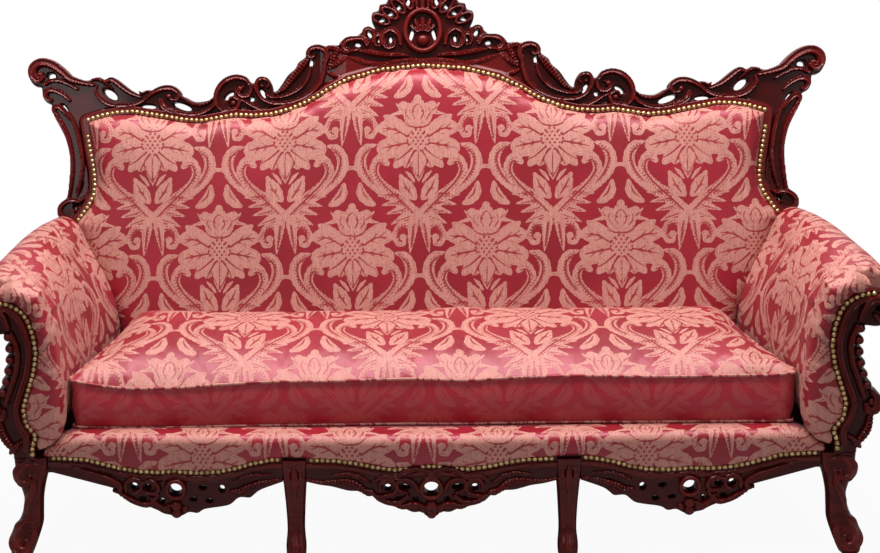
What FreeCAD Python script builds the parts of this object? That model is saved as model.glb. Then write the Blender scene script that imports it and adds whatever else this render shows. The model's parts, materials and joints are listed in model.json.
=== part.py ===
import FreeCAD
import Part

import math
import os

from FreeCAD import Vector

# A baroque three-seat sofa: carved show-wood frame, upholstered back, arms and seat, one loose cushion.
# Millimetres. X runs along the sofa, Y runs from front to back, Z is up and 0 is the floor.
# The shape is symmetric about X = 0, so the right side is modelled and mirrored.

# Driving dimensions of the back
back_recline = 16.3
back_datum_y = 212.0
back_datum_z = 682.0
show_wood_front = 8.0
show_wood_rear = -35.0
stile_thickness = 38.0
back_pad_crown = 42.0
back_pad_depth = 30.0
back_bottom_v = -340.0
fit_gap = 0.4

# Driving dimensions of the seat
front_face_y = -405.0
serpentine_depth = 12.0
show_rail_thickness = 45.0
tack_rail_setback = 20.0
tack_rail_top = 292.0
rail_bottom = 195.0
rail_bottom_at_corner = 213.0
rail_half_length = 905.0
drawn_half_length = 905.0
end_start = 800.0
rear_rail_front = 100.0
rear_rail_thickness = 38.0
side_rail_thickness = 40.0
side_rail_outer_front = rail_half_length + 75.0
side_rail_outer_rear = rail_half_length + 35.0
stile_inner_x = rail_half_length - 43.0
stile_width = 58.0
clip_thickness = 1.4
deck_thickness = 14.4
deck_top = tack_rail_top + clip_thickness + 0.2 + deck_thickness
border_thickness = 20.0

# Driving dimensions of the loose cushion
arm_pad_reach = 53.0
cushion_taper = 66.0
cushion_front_half = rail_half_length - arm_pad_reach
cushion_rear_half = cushion_front_half - cushion_taper
cushion_front_y = -352.0
cushion_rear_y = 88.0
cushion_edge_height = 120.0
cushion_crown = 30.0
cushion_corner_radius = 26.0
cover_thickness = 2.0
welt_radius = 3.5

# Driving dimensions of the legs, arms and trim
leg_block_half = 40.0
leg_block_rear = 58.0
leg_top = 252.0
corner_leg_x = rail_half_length + leg_block_half
mid_leg_half = 29.0
rear_leg_x = rail_half_length - 14.0
arm_front_y = -372.0
facing_thickness = 40.0
arm_panel_thickness = 6.0
nail_radius = 5.8
nail_pitch = 13.2
nail_height = 3.6
glide_radius = 11.0
glide_height = 4.0
webbing_width = 60.0
webbing_thickness = 2.0
spring_wire = 3.6
spring_height = tack_rail_top - 2.0
spring_count = 9
spring_pitch = rail_half_length / 5
strap_pitch = stile_inner_x / 6
screw_radius = 2.5
screw_length = 62.0

recline = math.radians(back_recline)
cushion_bottom = deck_top + 0.3
cushion_top = cushion_bottom + cushion_edge_height
foot_base = glide_height
extra_half_length = rail_half_length - drawn_half_length


def widened(x):
    """Keeps the ends of the sofa as drawn and lets its middle grow with the length of the rail."""
    return x + math.copysign(extra_half_length * min(1.0, abs(x) / end_start), x)


def widen(rows):
    """The same for the first number of each row."""
    return [(widened(row[0]),) + tuple(row[1:]) for row in rows]


mid_leg_x = widened(321.0)
rear_mid_leg_x = widened(330.0)
brace_x = widened(290.0)

# Outlines of the right half, as (x, height) pairs.
# Back outlines measure height along the reclined back, from the datum line.
nail_line_top = widen([(0, 392), (107, 383), (195, 360), (245, 336), (300, 303), (349, 283), (396, 271),
                       (447, 268), (492, 271), (544, 262), (580, 256), (631, 260), (682, 270), (758, 283),
                       (802, 281), (840, 275), (880, 263)])
nail_line_side = widen([(880, 263), (876, 238), (867, 184), (859, 140), (856, 101), (860, 72), (873, 45),
                        (892, 18), (909, -3)])
crest_foot = widen([(0, 412), (100, 405), (160, 410), (205, 432)])
rail_top_edge = widen([(205, 432), (222, 457), (257, 450), (279, 455), (299, 446), (308, 428), (326, 414),
                       (335, 398), (354, 381), (369, 359), (383, 341), (392, 340), (396, 357), (404, 371),
                       (418, 377), (436, 371), (446, 361), (460, 371), (485, 377), (514, 369), (538, 343),
                       (551, 323), (574, 316), (599, 315), (621, 326), (636, 331), (644, 346), (662, 352),
                       (709, 347), (740, 337), (771, 347), (801, 367), (806, 377), (819, 382), (836, 377),
                       (850, 383)])
horn_edge = widen([(850, 383), (872, 377), (907, 376), (925, 384), (943, 400), (967, 421), (987, 432),
                   (1005, 437), (1025, 430), (1037, 417), (1041, 399), (1036, 381), (1024, 365), (1006, 360),
                   (1003, 345), (1000, 330), (991, 319), (979, 313), (977, 296), (967, 275), (952, 249),
                   (936, 222), (927, 189), (923, 154), (927, 118), (936, 85), (941, 66), (957, 52), (964, 35),
                   (959, 17), (945, 4), (925, -4), (909, -8)])
crest_edge = widen([(205, 432), (211, 446), (212, 468), (192, 478), (176, 478), (158, 492), (140, 503),
                    (124, 500), (133, 522), (131, 541), (116, 547), (111, 562), (95, 566), (86, 581), (68, 583),
                    (56, 597), (38, 596), (24, 608), (0, 612)])

# Pierced openings of the show wood, as (x, height, half width, half height, turn in degrees)
rail_holes = widen([(293, 411, 5, 10, 0), (421, 333, 6, 14, -25), (449, 319, 6, 6, 0), (509, 329, 15, 7, -40),
                    (487, 299, 6, 6, 0), (632, 303, 25, 8, 22), (722, 304, 20, 6, 5), (822, 338, 22, 9, 38)])
horn_holes = widen([(978, 388, 11, 9, 20), (944, 303, 13, 4, 52), (904, 92, 4, 17, 20), (914, 41, 7, 8, 0)])
crest_holes = widen([(37, 568, 5, 15, 20), (62, 554, 5, 14, 42), (84, 537, 5, 14, 58), (107, 521, 5, 12, 66),
                     (84, 470, 4, 9, 0), (113, 468, 5, 6, 0), (139, 485, 5, 10, -20), (170, 458, 8, 6, 20),
                     (29, 482, 5, 16, 12)])
crest_crescent = widen([(-38, 520), (-22, 537), (0, 543), (22, 537), (38, 520), (20, 526), (0, 531),
                        (-20, 526)])

# Front outlines measure height from the floor.
nail_wave = widen([(0, 237), (40, 231), (86, 228), (132, 234), (178, 244), (224, 250), (293, 252), (333, 254),
                   (373, 252), (422, 242), (459, 230), (500, 221), (549, 218), (604, 221), (647, 219),
                   (688, 221), (737, 229), (777, 240), (813, 250), (874, 254), (905, 254)])
middle_apron_edge = widen([(0, 100), (16, 107), (22, 115), (43, 114), (62, 122), (85, 127), (104, 134),
                           (122, 145), (134, 155), (150, 154), (169, 166), (196, 168), (233, 178), (261, 182),
                           (291, 189)])
outer_apron_edge = widen([(351, 189), (400, 170), (417, 158), (429, 149), (454, 149), (475, 132), (496, 126),
                          (537, 119), (554, 109), (574, 111), (590, 103), (604, 98), (618, 103), (636, 107),
                          (652, 116), (692, 134), (712, 147), (728, 160), (748, 169), (790, 181)])
middle_apron_holes = widen([(0, 176, 17, 17, 0), (61, 179, 12, 5, 12), (102, 177, 8, 8, 0), (37, 148, 6, 5, 0),
                            (76, 148, 7, 5, 0)])
outer_apron_holes = widen([(604, 171, 15, 15, 0), (540, 174, 9, 5, 10), (494, 171, 7, 9, 0),
                           (563, 144, 8, 5, 0), (525, 141, 9, 5, 0), (672, 175, 9, 5, 0), (703, 177, 8, 8, 0),
                           (684, 145, 8, 5, 0), (638, 140, 6, 6, 0)])
facing_inner = widen([(932, 252), (931, 284), (920, 310), (942, 338), (947, 377), (934, 418), (917, 467),
                      (909, 513), (913, 556), (925, 596), (945, 623), (973, 638), (1002, 641)])
facing_outer = widen([(1002, 641), (1034, 634), (1054, 612), (1056, 588), (1042, 566), (1018, 555), (984, 557),
                      (976, 538), (974, 508), (982, 475), (992, 440), (1004, 407), (1015, 377), (1013, 335),
                      (1015, 305), (1000, 284), (985, 262), (985, 252)])
arm_section_front = widen([(905, 300), (874, 330), (861, 380), (862, 440), (868, 500), (874, 560), (890, 615),
                           (930, 665), (985, 687), (1035, 676), (1066, 640), (1068, 596), (1040, 566),
                           (1004, 558), (988, 530), (985, 440), (985, 300)])
arm_section_rear = widen([(868, 300), (812, 330), (800, 380), (806, 440), (820, 500), (842, 560), (868, 615),
                          (900, 672), (935, 694), (966, 686), (986, 655), (986, 620), (966, 590), (954, 572),
                          (947, 530), (945, 440), (945, 300)])

parts = {}


def add(name, *shapes):
    """Keeps the closed solids of one node."""
    solids = []
    for shape in shapes:
        solids += shape.Solids
    parts[name] = Part.makeCompound(solids) if len(solids) > 1 else solids[0]


def mirrored(shape):
    """The same shape on the other side of X = 0."""
    return shape.mirror(Vector(0, 0, 0), Vector(1, 0, 0))


def add_pair(name, *shapes):
    """A right-hand piece and its mirror image, as two nodes."""
    add(name + "_right", *shapes)
    add(name + "_left", *[mirrored(shape) for shape in shapes])


def back_frame():
    """The placement that stands a flat drawing up on the reclined back: its Z points out of the back."""
    s = math.sin(recline)
    c = math.cos(recline)
    return FreeCAD.Matrix(1, 0, 0, 0, 0, s, -c, back_datum_y, 0, c, s, back_datum_z, 0, 0, 0, 1)


def on_back(shape):
    stood = shape.copy()
    stood.Placement = FreeCAD.Placement(back_frame()).multiply(stood.Placement)
    return stood


def back_point(x, v, w):
    return back_frame().multVec(Vector(x, v, w))


def polygon(points, depth_start, depth_end, plane="xz"):
    """A prism from an outline: plane xy runs up from depth_start, plane xz runs back along Y."""
    if plane == "xy":
        corners = [Vector(x, y, depth_start) for x, y in points]
        sweep = Vector(0, 0, depth_end - depth_start)
    else:
        corners = [Vector(x, depth_start, z) for x, z in points]
        sweep = Vector(0, depth_end - depth_start, 0)
    wire = Part.makePolygon(corners + corners[:1])
    return Part.Face(wire).extrude(sweep)


def box(x0, x1, y0, y1, z0, z1):
    return Part.makeBox(x1 - x0, y1 - y0, z1 - z0, Vector(x0, y0, z0))


def pierce(blank, holes, depth_start, depth_end, plane="xz", both_sides=False):
    """Cuts oval openings through a board."""
    for x, height, half_width, half_height, turn in holes:
        for side in (1, -1) if both_sides and x > 0 else (1,):
            major = max(half_width, half_height)
            minor = min(half_width, half_height)
            angle = math.radians(turn + (90 if half_height > half_width else 0))
            if side < 0:
                angle = math.pi - angle
            depth = depth_end - depth_start
            oval = Part.makeCylinder(1.0, depth, Vector(0, 0, 0), Vector(0, 0, 1))
            stretch = FreeCAD.Matrix()
            stretch.scale(major, minor, 1)
            oval = oval.transformGeometry(stretch)
            oval.rotate(Vector(0, 0, 0), Vector(0, 0, 1), math.degrees(angle))
            oval.translate(Vector(side * x, height, depth_start))
            if plane == "xz":
                oval.rotate(Vector(0, 0, 0), Vector(1, 0, 0), 90)
                oval.translate(Vector(0, depth_start + depth_end, 0))
            blank = blank.cut(oval)
    return blank


def both_halves(points):
    """A right-half line from the middle outwards, mirrored into a full line from left to right."""
    left = [(-x, v) for x, v in reversed(points) if x > 0]
    return left + points


def spline_wire(points):
    """A closed smooth wire through points."""
    curve = Part.BSplineCurve()
    curve.interpolate(Points=points, PeriodicFlag=True)
    return Part.Wire([curve.toShape()])


def serpentine_y(x, offset=0.0):
    """The front line of the seat seen from above: it swells in the middle of each bay."""
    return front_face_y - serpentine_depth * math.cos(math.pi * x / rail_half_length) + offset


def plan_band(offset_front, offset_rear, half_length, z0, z1):
    """An upright band that follows the serpentine front line."""
    steps = 12
    xs = [half_length * (2.0 * i / steps - 1.0) for i in range(steps + 1)]
    front = Part.BSplineCurve()
    front.interpolate([Vector(x, serpentine_y(x, offset_front), z0) for x in xs])
    rear = Part.BSplineCurve()
    rear.interpolate([Vector(x, serpentine_y(x, offset_rear), z0) for x in reversed(xs)])
    ends = [Part.makeLine(front.EndPoint, rear.StartPoint), Part.makeLine(rear.EndPoint, front.StartPoint)]
    wire = Part.Wire([front.toShape(), ends[0], rear.toShape(), ends[1]])
    return Part.Face(wire).extrude(Vector(0, 0, z1 - z0))


def oval_section(cx, cy, z, half_x, half_y, squareness=0.86):
    """A rounded leg section through eight points."""
    points = []
    for k in range(8):
        a = math.pi / 4 * k
        reach = 1.0 if k % 2 == 0 else squareness * math.sqrt(2.0)
        points.append(Vector(cx + half_x * reach * math.cos(a), cy + half_y * reach * math.sin(a), z))
    return spline_wire(points)


def line_points(points, pitch):
    """Evenly spaced points on a line of points, as (point, direction)."""
    lengths = [0.0]
    for a, b in zip(points, points[1:]):
        lengths.append(lengths[-1] + (b - a).Length)
    count = max(1, int(round(lengths[-1] / pitch)))
    placed = []
    for k in range(count + 1):
        s = lengths[-1] * k / count
        i = max(j for j in range(len(points) - 1) if lengths[j] <= s + 1e-9)
        share = (s - lengths[i]) / (lengths[i + 1] - lengths[i])
        placed.append(points[i] + (points[i + 1] - points[i]) * share)
    return placed


def nail(base, outward):
    """The domed head of an upholstery nail, flat side on the work."""
    ball_radius = (nail_radius ** 2 + nail_height ** 2) / (2 * nail_height)
    ball = Part.makeSphere(ball_radius, base + outward * (nail_height - ball_radius))
    keep = Part.makeCylinder(nail_radius * 1.2, nail_height * 2, base, outward)
    return ball.common(keep)


# Show wood of the back
def board_on_back(outline, holes, both_sides=False):
    blank = polygon(outline, show_wood_rear, show_wood_front, "xy")
    return pierce(blank, holes, show_wood_rear - 1, show_wood_front + 1, "xy", both_sides)


def make_back_show_wood():
    rail_joint = widen([(850, 383), (846, 330), (840, 275)])
    rail_right = nail_line_top[:16] + rail_joint[1:2] + rail_top_edge[::-1] + crest_foot[::-1][1:]
    add_pair("top_rail", on_back(board_on_back(rail_right, rail_holes)))
    horn = horn_edge + nail_line_side[::-1] + rail_joint[:0:-1]
    horn_clean = []
    for point in horn:
        if not horn_clean or point != horn_clean[-1]:
            horn_clean.append(point)
    add_pair("back_side_carving", on_back(board_on_back(horn_clean, horn_holes)))
    crest_outline = both_halves(crest_foot) + list(reversed(both_halves(crest_edge[::-1])))[1:-1]
    crest = board_on_back(crest_outline, crest_holes, both_sides=True)
    crescent = polygon(crest_crescent, show_wood_rear - 1, show_wood_front + 1, "xy")
    add("crest", on_back(crest.cut(crescent)))


# Hidden frame of the back
def space_behind_back():
    """Everything behind the show wood's rear face."""
    return on_back(Part.makeBox(3000, 2000, 600, Vector(-1500, -1000, -600 + show_wood_rear - fit_gap)))


def floor_trim(shape, z):
    """Takes away what lies below a height."""
    return shape.cut(box(-1500, 1500, -1000, 1000, -500, z))


def make_back_frame():
    front = show_wood_rear - fit_gap
    rear = front - stile_thickness
    stile = on_back(Part.makeBox(stile_width, 760, stile_thickness, Vector(stile_inner_x, -520, rear)))
    add_pair("back_stile", floor_trim(stile, 200.0))
    for name, v0, v1 in (("back_lower_rail", -330, -270), ("back_upper_rail", 190, 250)):
        low = Vector(-stile_inner_x, v0, rear)
        add(name, on_back(Part.makeBox(2 * stile_inner_x, v1 - v0, stile_thickness, low)))
    muntins = [on_back(Part.makeBox(50, 460, stile_thickness, Vector(x - 25, -270, rear)))
               for x in (-brace_x, brace_x)]
    add("back_muntins", *muntins)
    straps = []
    for k in range(-5, 6):
        if abs(k) != 2:
            low = Vector(k * strap_pitch - webbing_width / 2, -330, front + fit_gap / 2)
            straps.append(on_back(Part.makeBox(webbing_width, 580, webbing_thickness, low)))
    add("back_webbing", *straps)


# Upholstery of the back
def scaled_outline(outline, share_x, share_v, w, centre_v=20.0):
    return [Vector(x * share_x, centre_v + (v - centre_v) * share_v, w) for x, v in outline]


def back_pad_outline():
    inner = [(x * 0.9985 if x > 0 else 0.0, v - 0.8) for x, v in nail_line_top]
    side = [(x - 1.2, v) for x, v in nail_line_side[1:]]
    lower = widen([(852, -150), (800, -262), (778, back_bottom_v)])
    return both_halves(inner + side + lower)


def pad_solid(inset):
    """The padded back, or the space inside its cover when inset is more than 0."""
    outline = back_pad_outline()
    keep_x = 1 - inset / 900.0
    keep_v = 1 - inset / 350.0
    height = back_pad_crown - inset
    levels = [(1.0, 1.0, inset - back_pad_depth), (1.0, 1.0, 0.0), (0.985, 0.965, height * 0.5),
              (0.93, 0.88, height * 0.85), (0.80, 0.70, height)]
    outlines = [scaled_outline(outline, sx * keep_x, sv * keep_v, w) for sx, sv, w in levels]
    wires = [Part.makePolygon(o + o[:1]) for o in outlines]
    return on_back(Part.makeLoft(wires, True, True))


def make_back_upholstery():
    outer = pad_solid(0.0)
    add("back_foam", pad_solid(cover_thickness + 1.3))
    rear = show_wood_rear - fit_gap - stile_thickness
    top = [(x, v + 14) for x, v in nail_line_top[:14]] + widen([(842, 284), (846, 262)])
    side = widen([(862, 252), (918, 246), (918, -500)])
    lining = polygon(both_halves(top + side), rear - 6, rear - fit_gap, "xy")
    add("back_outer_panel", floor_trim(on_back(lining), 214.0))
    return outer


# Seat frame
def front_show_rail():
    wave = both_halves(nail_wave)
    bottom = widen([(905, rail_bottom_at_corner), (835, rail_bottom_at_corner), (790, rail_bottom)])
    lower = wave + bottom + [(-x, z) for x, z in reversed(bottom)]
    lower_prism = polygon(lower, front_face_y - 60, front_face_y + 120)
    show = lower_prism.common(plan_band(0, show_rail_thickness, rail_half_length, 150, 350))
    upper = wave + [(rail_half_length, tack_rail_top), (-rail_half_length, tack_rail_top)]
    upper_prism = polygon(upper, front_face_y - 60, front_face_y + 120)
    tack = upper_prism.common(plan_band(tack_rail_setback, show_rail_thickness, rail_half_length, 150, 350))
    return show.fuse(tack).removeSplitter()


def seat_border():
    """The padded front band between the nail line and the cushion, in front of the tack rail."""
    upper = both_halves(nail_wave) + [(rail_half_length, deck_top), (-rail_half_length, deck_top)]
    prism = polygon(upper, front_face_y - 60, front_face_y + 120)
    border_rear = tack_rail_setback - fit_gap
    band = plan_band(border_rear - border_thickness, border_rear, rail_half_length - 1, 150, 350)
    return prism.common(band)


def apron(edge, holes, both_sides):
    if both_sides:
        outline = both_halves(edge) + [(edge[-1][0], rail_bottom), (-edge[-1][0], rail_bottom)]
    else:
        outline = edge + [(edge[-1][0], rail_bottom), (edge[0][0], rail_bottom)]
    board = polygon(outline, front_face_y - 60, front_face_y + 60)
    board = board.common(plan_band(4, 32, rail_half_length, 80, 250))
    return pierce(board, holes, front_face_y - 61, front_face_y + 61, "xz", both_sides)


def make_seat_frame():
    rail = front_show_rail()
    block_front = front_face_y - 10
    for side in (1, -1):
        x = side * mid_leg_x
        rail = rail.cut(box(x - mid_leg_half, x + mid_leg_half, block_front, front_face_y + 30, 190, 250))
    add("front_rail", rail)
    add("apron_middle", apron(middle_apron_edge, middle_apron_holes, True))
    add_pair("apron", apron(outer_apron_edge, outer_apron_holes, False))
    rear_y1 = rear_rail_front + rear_rail_thickness
    reach = stile_inner_x - fit_gap
    rear_rail = box(-reach, reach, rear_rail_front, rear_y1, 200, tack_rail_top)
    side_front = front_face_y + leg_block_rear
    side_rear = rear_rail_front + 60
    side_plan = [(side_rail_outer_front - side_rail_thickness, side_front), (side_rail_outer_front, side_front),
                 (side_rail_outer_rear, side_rear), (side_rail_outer_rear - side_rail_thickness, side_rear)]
    side_rail = polygon(side_plan, 200, tack_rail_top, "xy").cut(space_behind_back())
    brace_half = 20.0
    brace_front = serpentine_y(brace_x + brace_half, show_rail_thickness) + fit_gap
    braces = [box(x - brace_half, x + brace_half, brace_front, rear_rail_front - fit_gap, 200, 245)
              for x in (-brace_x, brace_x)]
    add("seat_braces", *braces)
    block_size = 90.0
    screw_reach = 55.0
    front_x = side_rail_outer_front - side_rail_thickness - 2
    front_y = front_face_y + leg_block_rear + fit_gap
    rear_x = side_rail_outer_rear - side_rail_thickness - 1
    rear_y = rear_rail_front - fit_gap
    blocks = []
    screws = []
    holes = []
    for side in (1, -1):
        for x, y, turn in ((front_x, front_y, 1), (rear_x, rear_y, -1)):
            plan = [(side * x, y), (side * (x - block_size), y), (side * x, y + turn * block_size)]
            blocks.append(polygon(plan, 215, 270, "xy").cut(side_rail).cut(mirrored(side_rail)))
            start_offset = block_size - screw_reach
            along_x = (Vector(side * (x - start_offset), y + turn * screw_reach, 250), Vector(side, 0, 0))
            along_y = (Vector(side * (x - screw_reach), y + turn * start_offset, 232), Vector(0, -turn, 0))
            for start, way in (along_x, along_y):
                head = Part.makeCylinder(screw_radius * 1.9, 3, start - way * 3.2, way)
                screws.append(head.fuse(Part.makeCylinder(screw_radius, screw_length, start - way * 0.3, way)))
                holes.append(Part.makeCylinder(screw_radius + 0.3, screw_length + 10, start - way * 9, way))
                holes.append(Part.makeCylinder(screw_radius * 1.9 + 0.3, 40, start - way * 40, way))
    drilled = Part.makeCompound(holes)
    add("corner_blocks", *[block.cut(drilled) for block in blocks])
    add("block_screws", *screws)
    parts["front_rail"] = parts["front_rail"].cut(drilled)
    add_pair("side_rail", side_rail.cut(drilled))
    return rail, rear_rail.cut(drilled), side_rail


def make_legs():
    toe_y = front_face_y - 4
    corner = [(0, -14, foot_base, 29, 26), (24, -10, 26, 31, 29), (12, 2, 62, 37, 31), (5, 8, 100, 38, 32),
              (9, 6, 142, 38, 34), (2, 10, 195, 40, 34)]
    wires = [oval_section(corner_leg_x + dx, toe_y + 14 + dy, z, hx, hy) for dx, dy, z, hx, hy in
             [(27 if i == 0 else dx, dy, z, hx, hy) for i, (dx, dy, z, hx, hy) in enumerate(corner)]]
    shank = Part.makeLoft(wires, True, False)
    block = box(rail_half_length + fit_gap, corner_leg_x + leg_block_half, front_face_y - 10,
                front_face_y + leg_block_rear, rail_bottom, leg_top)
    add_pair("front_leg", shank.fuse(block).removeSplitter())
    middle = [(-14, foot_base, 24, 22), (-8, 30, 25, 24), (4, 66, 22, 20), (8, 120, 24, 22), (6, 165, 27, 25),
              (8, 195, 29, 27)]
    wires = [oval_section(mid_leg_x, toe_y + 8 + dy, z, hx, hy, 0.9) for dy, z, hx, hy in middle]
    shank = Part.makeLoft(wires, True, False)
    block = box(mid_leg_x - mid_leg_half + fit_gap, mid_leg_x + mid_leg_half - fit_gap, front_face_y - 16,
                front_face_y + 30 - fit_gap, rail_bottom, 246)
    mid = shank.fuse(block).removeSplitter()
    edge = outer_apron_edge
    apron_zone = polygon(edge + [(edge[-1][0], rail_bottom), (edge[0][0], rail_bottom)], front_face_y - 61,
                         front_face_y + 61)
    add_pair("front_mid_leg", mid.cut(apron_zone))
    for name, x, half in (("rear_leg", rear_leg_x, 28), ("rear_mid_leg", rear_mid_leg_x, 24)):
        sections = [(190, 0, 19, 18), (150, 60, 21, 20), (118, 130, 25, 24), (108, 200, half, 28)]
        wires = []
        for dy, z, hx, hy in sections:
            base_z = max(z, foot_base)
            wires.append(Part.makePolygon([Vector(x - hx, dy + 20 - hy, base_z), Vector(x + hx, dy + 20 - hy, base_z),
                                           Vector(x + hx, dy + 20 + hy, base_z), Vector(x - hx, dy + 20 + hy, base_z),
                                           Vector(x - hx, dy + 20 - hy, base_z)]))
        add_pair(name, Part.makeLoft(wires, True, False))
    feet = [(corner_leg_x + 27, toe_y), (mid_leg_x, toe_y - 6), (rear_leg_x, 210), (rear_mid_leg_x, 210)]
    glides = [Part.makeCylinder(glide_radius, glide_height, Vector(side * x, y, 0)) for x, y in feet
              for side in (1, -1)]
    add("floor_glides", *glides)


# Arms
def section_wire(points, y):
    return spline_wire([Vector(x, y, z) for x, z in points])


def inward(section, distance):
    """Moves a clockwise outline towards its inside."""
    moved = []
    for i, (x, z) in enumerate(section):
        before = section[i - 1]
        after = section[(i + 1) % len(section)]
        tx = after[0] - before[0]
        tz = after[1] - before[1]
        length = math.hypot(tx, tz)
        moved.append((x + tz / length * distance, z - tx / length * distance))
    return moved


def arm_roll(inset):
    """The padded arm, or the space inside its cover when inset is more than 0."""
    rear_y = 250.0
    middle = [((a[0] + b[0]) / 2 + 4, (a[1] + b[1]) / 2 + 2) for a, b in zip(arm_section_front, arm_section_rear)]
    wires = []
    for section, y in ((arm_section_front, arm_front_y + 8 + inset), (middle, (arm_front_y + rear_y) / 2),
                       (arm_section_rear, rear_y)):
        wires.append(section_wire(inward(section, inset), y))
    return Part.makeLoft(wires, True, False)


def largest(shape):
    return max(shape.Solids, key=lambda solid: solid.Volume)


def make_arms(back_pad, side_rail):
    outline = facing_inner + facing_outer[1:]
    facing = polygon(outline, arm_front_y - facing_thickness, arm_front_y)
    facing = pierce(facing, widen([(1018, 598, 7, 7, 0)]), arm_front_y - facing_thickness - 1, arm_front_y + 1)
    add_pair("arm_facing", facing)
    rail_plan = [(950, arm_front_y + fit_gap), (992, arm_front_y + fit_gap), (950, 330), (908, 330)]
    rail = polygon(widen(rail_plan), 596, 636, "xy")
    behind_back = space_behind_back()
    rail = rail.cut(behind_back)
    post_plan = [(940, arm_front_y + fit_gap), (975, arm_front_y + fit_gap), (975, arm_front_y + 40),
                 (940, arm_front_y + 40)]
    post = polygon(widen(post_plan), tack_rail_top + fit_gap, 596, "xy")
    add_pair("arm_rail", rail)
    add_pair("arm_post", post)
    panel_front = side_rail_outer_front + fit_gap
    panel_rear = side_rail_outer_rear + fit_gap
    panel = polygon([(panel_front, arm_front_y + 45), (panel_front + arm_panel_thickness, arm_front_y + 45),
                     (panel_rear + arm_panel_thickness, 160), (panel_rear, 160)], 205, 560, "xy")
    show_wood = Part.makeCompound([parts[n] for n in ("back_side_carving_right", "top_rail_right")])
    wood = Part.makeCompound([rail, post])
    below = box(0, 1500, -700, 700, 0, tack_rail_top + fit_gap)
    inside = box(0, 1500, -700, 700, 0, tack_rail_top + fit_gap + 2)
    around = [behind_back, show_wood, back_pad]
    outer = arm_roll(0.0).cut(below)
    space = arm_roll(cover_thickness + 1).cut(inside)
    foam = arm_roll(cover_thickness + 1.3).cut(inside)
    for tool in around:
        outer = outer.cut(tool)
        foam = foam.cut(tool)
    outer = largest(outer)
    add_pair("arm_cover", largest(outer.cut(space).cut(wood)))
    add_pair("arm_foam", largest(foam.cut(wood)))
    panel = panel.cut(behind_back).cut(outer).cut(parts["back_stile_right"])
    add_pair("arm_outer_panel", largest(panel))


# Seat deck under the cushion
def make_deck():
    steps = 16
    xs = [stile_inner_x * (1 - 2.0 * i / steps) for i in range(steps + 1)]
    plan = [(x, serpentine_y(x, tack_rail_setback)) for x in xs]
    plan += widen([(-800, rear_rail_front - 2), (800, rear_rail_front - 2)])
    under = tack_rail_top + clip_thickness + 0.2
    add("seat_deck", polygon(plan, under, deck_top, "xy"))
    add("seat_border", seat_border())
    springs = []
    clips = []
    amplitude = 24.0
    turns = 16
    rear = rear_rail_front - spring_wire / 2 - 0.5
    for k in range(spring_count):
        x = (k - (spring_count - 1) / 2) * spring_pitch
        front = serpentine_y(x, show_rail_thickness) + spring_wire / 2 + 1.6
        step = (rear - front) / turns
        edges = []
        bend = amplitude - step / 2
        for i in range(turns):
            side = 1 if i % 2 == 0 else -1
            y0 = front + step * i
            if i == 0:
                edges.append(Part.makeLine(Vector(x, y0, spring_height), Vector(x + side * bend, y0, spring_height)))
            start = Vector(x + side * bend, y0, spring_height)
            middle = Vector(x + side * (bend + step / 2), y0 + step / 2, spring_height)
            end = Vector(x + side * bend, y0 + step, spring_height)
            edges.append(Part.Arc(start, middle, end).toShape())
            if i < turns - 1:
                edges.append(Part.makeLine(end, Vector(x - side * bend, y0 + step, spring_height)))
            else:
                edges.append(Part.makeLine(end, Vector(x, y0 + step, spring_height)))
        ring = Part.Wire([Part.makeCircle(spring_wire / 2, Vector(x, front, spring_height), Vector(1, 0, 0))])
        springs.append(Part.Wire(edges).makePipeShell([ring], True, False))
        clips.append(box(x - 9, x + 9, front - 22, front + 5, tack_rail_top, tack_rail_top + clip_thickness))
        clips.append(box(x - 9, x + 9, rear - 5, rear_rail_front + 22, tack_rail_top, tack_rail_top + clip_thickness))
    add("seat_springs", *springs)
    add("spring_clips", *clips)
    dust_front = serpentine_y(rail_half_length, show_rail_thickness) + 4
    dust_plan = [(955, dust_front), (915, rear_rail_front - 4), (-915, rear_rail_front - 4), (-955, dust_front)]
    add("dust_cover", polygon(widen(dust_plan), 198.3, 199.8, "xy"))


# Loose seat cushion
def cushion_plan(inset, z, swell=0.0):
    """A rounded trapezoid as lines and arcs."""
    front_x = cushion_front_half - inset + swell
    rear_x = cushion_rear_half - inset + swell
    y0 = cushion_front_y + inset - swell
    y1 = cushion_rear_y - inset + swell
    r = max(cushion_corner_radius - inset * 0.2, 5.0)
    corners = [Vector(-front_x, y0, z), Vector(front_x, y0, z), Vector(rear_x, y1, z), Vector(-rear_x, y1, z)]
    edges = []
    ends = []
    for i, corner in enumerate(corners):
        before = (corners[i - 1] - corner).normalize()
        after = (corners[(i + 1) % 4] - corner).normalize()
        half = before.getAngle(after) / 2
        reach = r / math.tan(half)
        start = corner + before * reach
        stop = corner + after * reach
        bisector = (before + after).normalize()
        middle = corner + bisector * (r / math.sin(half) - r)
        ends.append((start, middle, stop))
    for i in range(4):
        start, middle, stop = ends[i]
        edges.append(Part.Arc(start, middle, stop).toShape())
        edges.append(Part.makeLine(stop, ends[(i + 1) % 4][0]))
    return Part.Wire(edges)


def cushion_body(inset):
    bottom = cushion_bottom + inset
    top = cushion_top - inset
    height = top - bottom
    boxing = Part.makeLoft([cushion_plan(inset, bottom), cushion_plan(inset, bottom + height / 2, 2.0),
                            cushion_plan(inset, top)], True, False)
    levels = [(0, 0.0), (55, 0.46), (140, 0.80), (210, 1.0)]
    crown = Part.makeLoft([cushion_plan(inset + d, top + cushion_crown * share) for d, share in levels], True, False)
    return boxing.fuse(crown).removeSplitter()


def welt(z):
    """The piped cord that is sewn round an edge of the cushion."""
    path = cushion_plan(-welt_radius - 0.3, z)
    whole = Part.Wire(path.Edges)
    ring = Part.Wire([Part.makeCircle(welt_radius, path.Edges[0].valueAt(path.Edges[0].FirstParameter),
                                      path.Edges[0].tangentAt(path.Edges[0].FirstParameter))])
    return whole.makePipeShell([ring], True, False)


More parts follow.
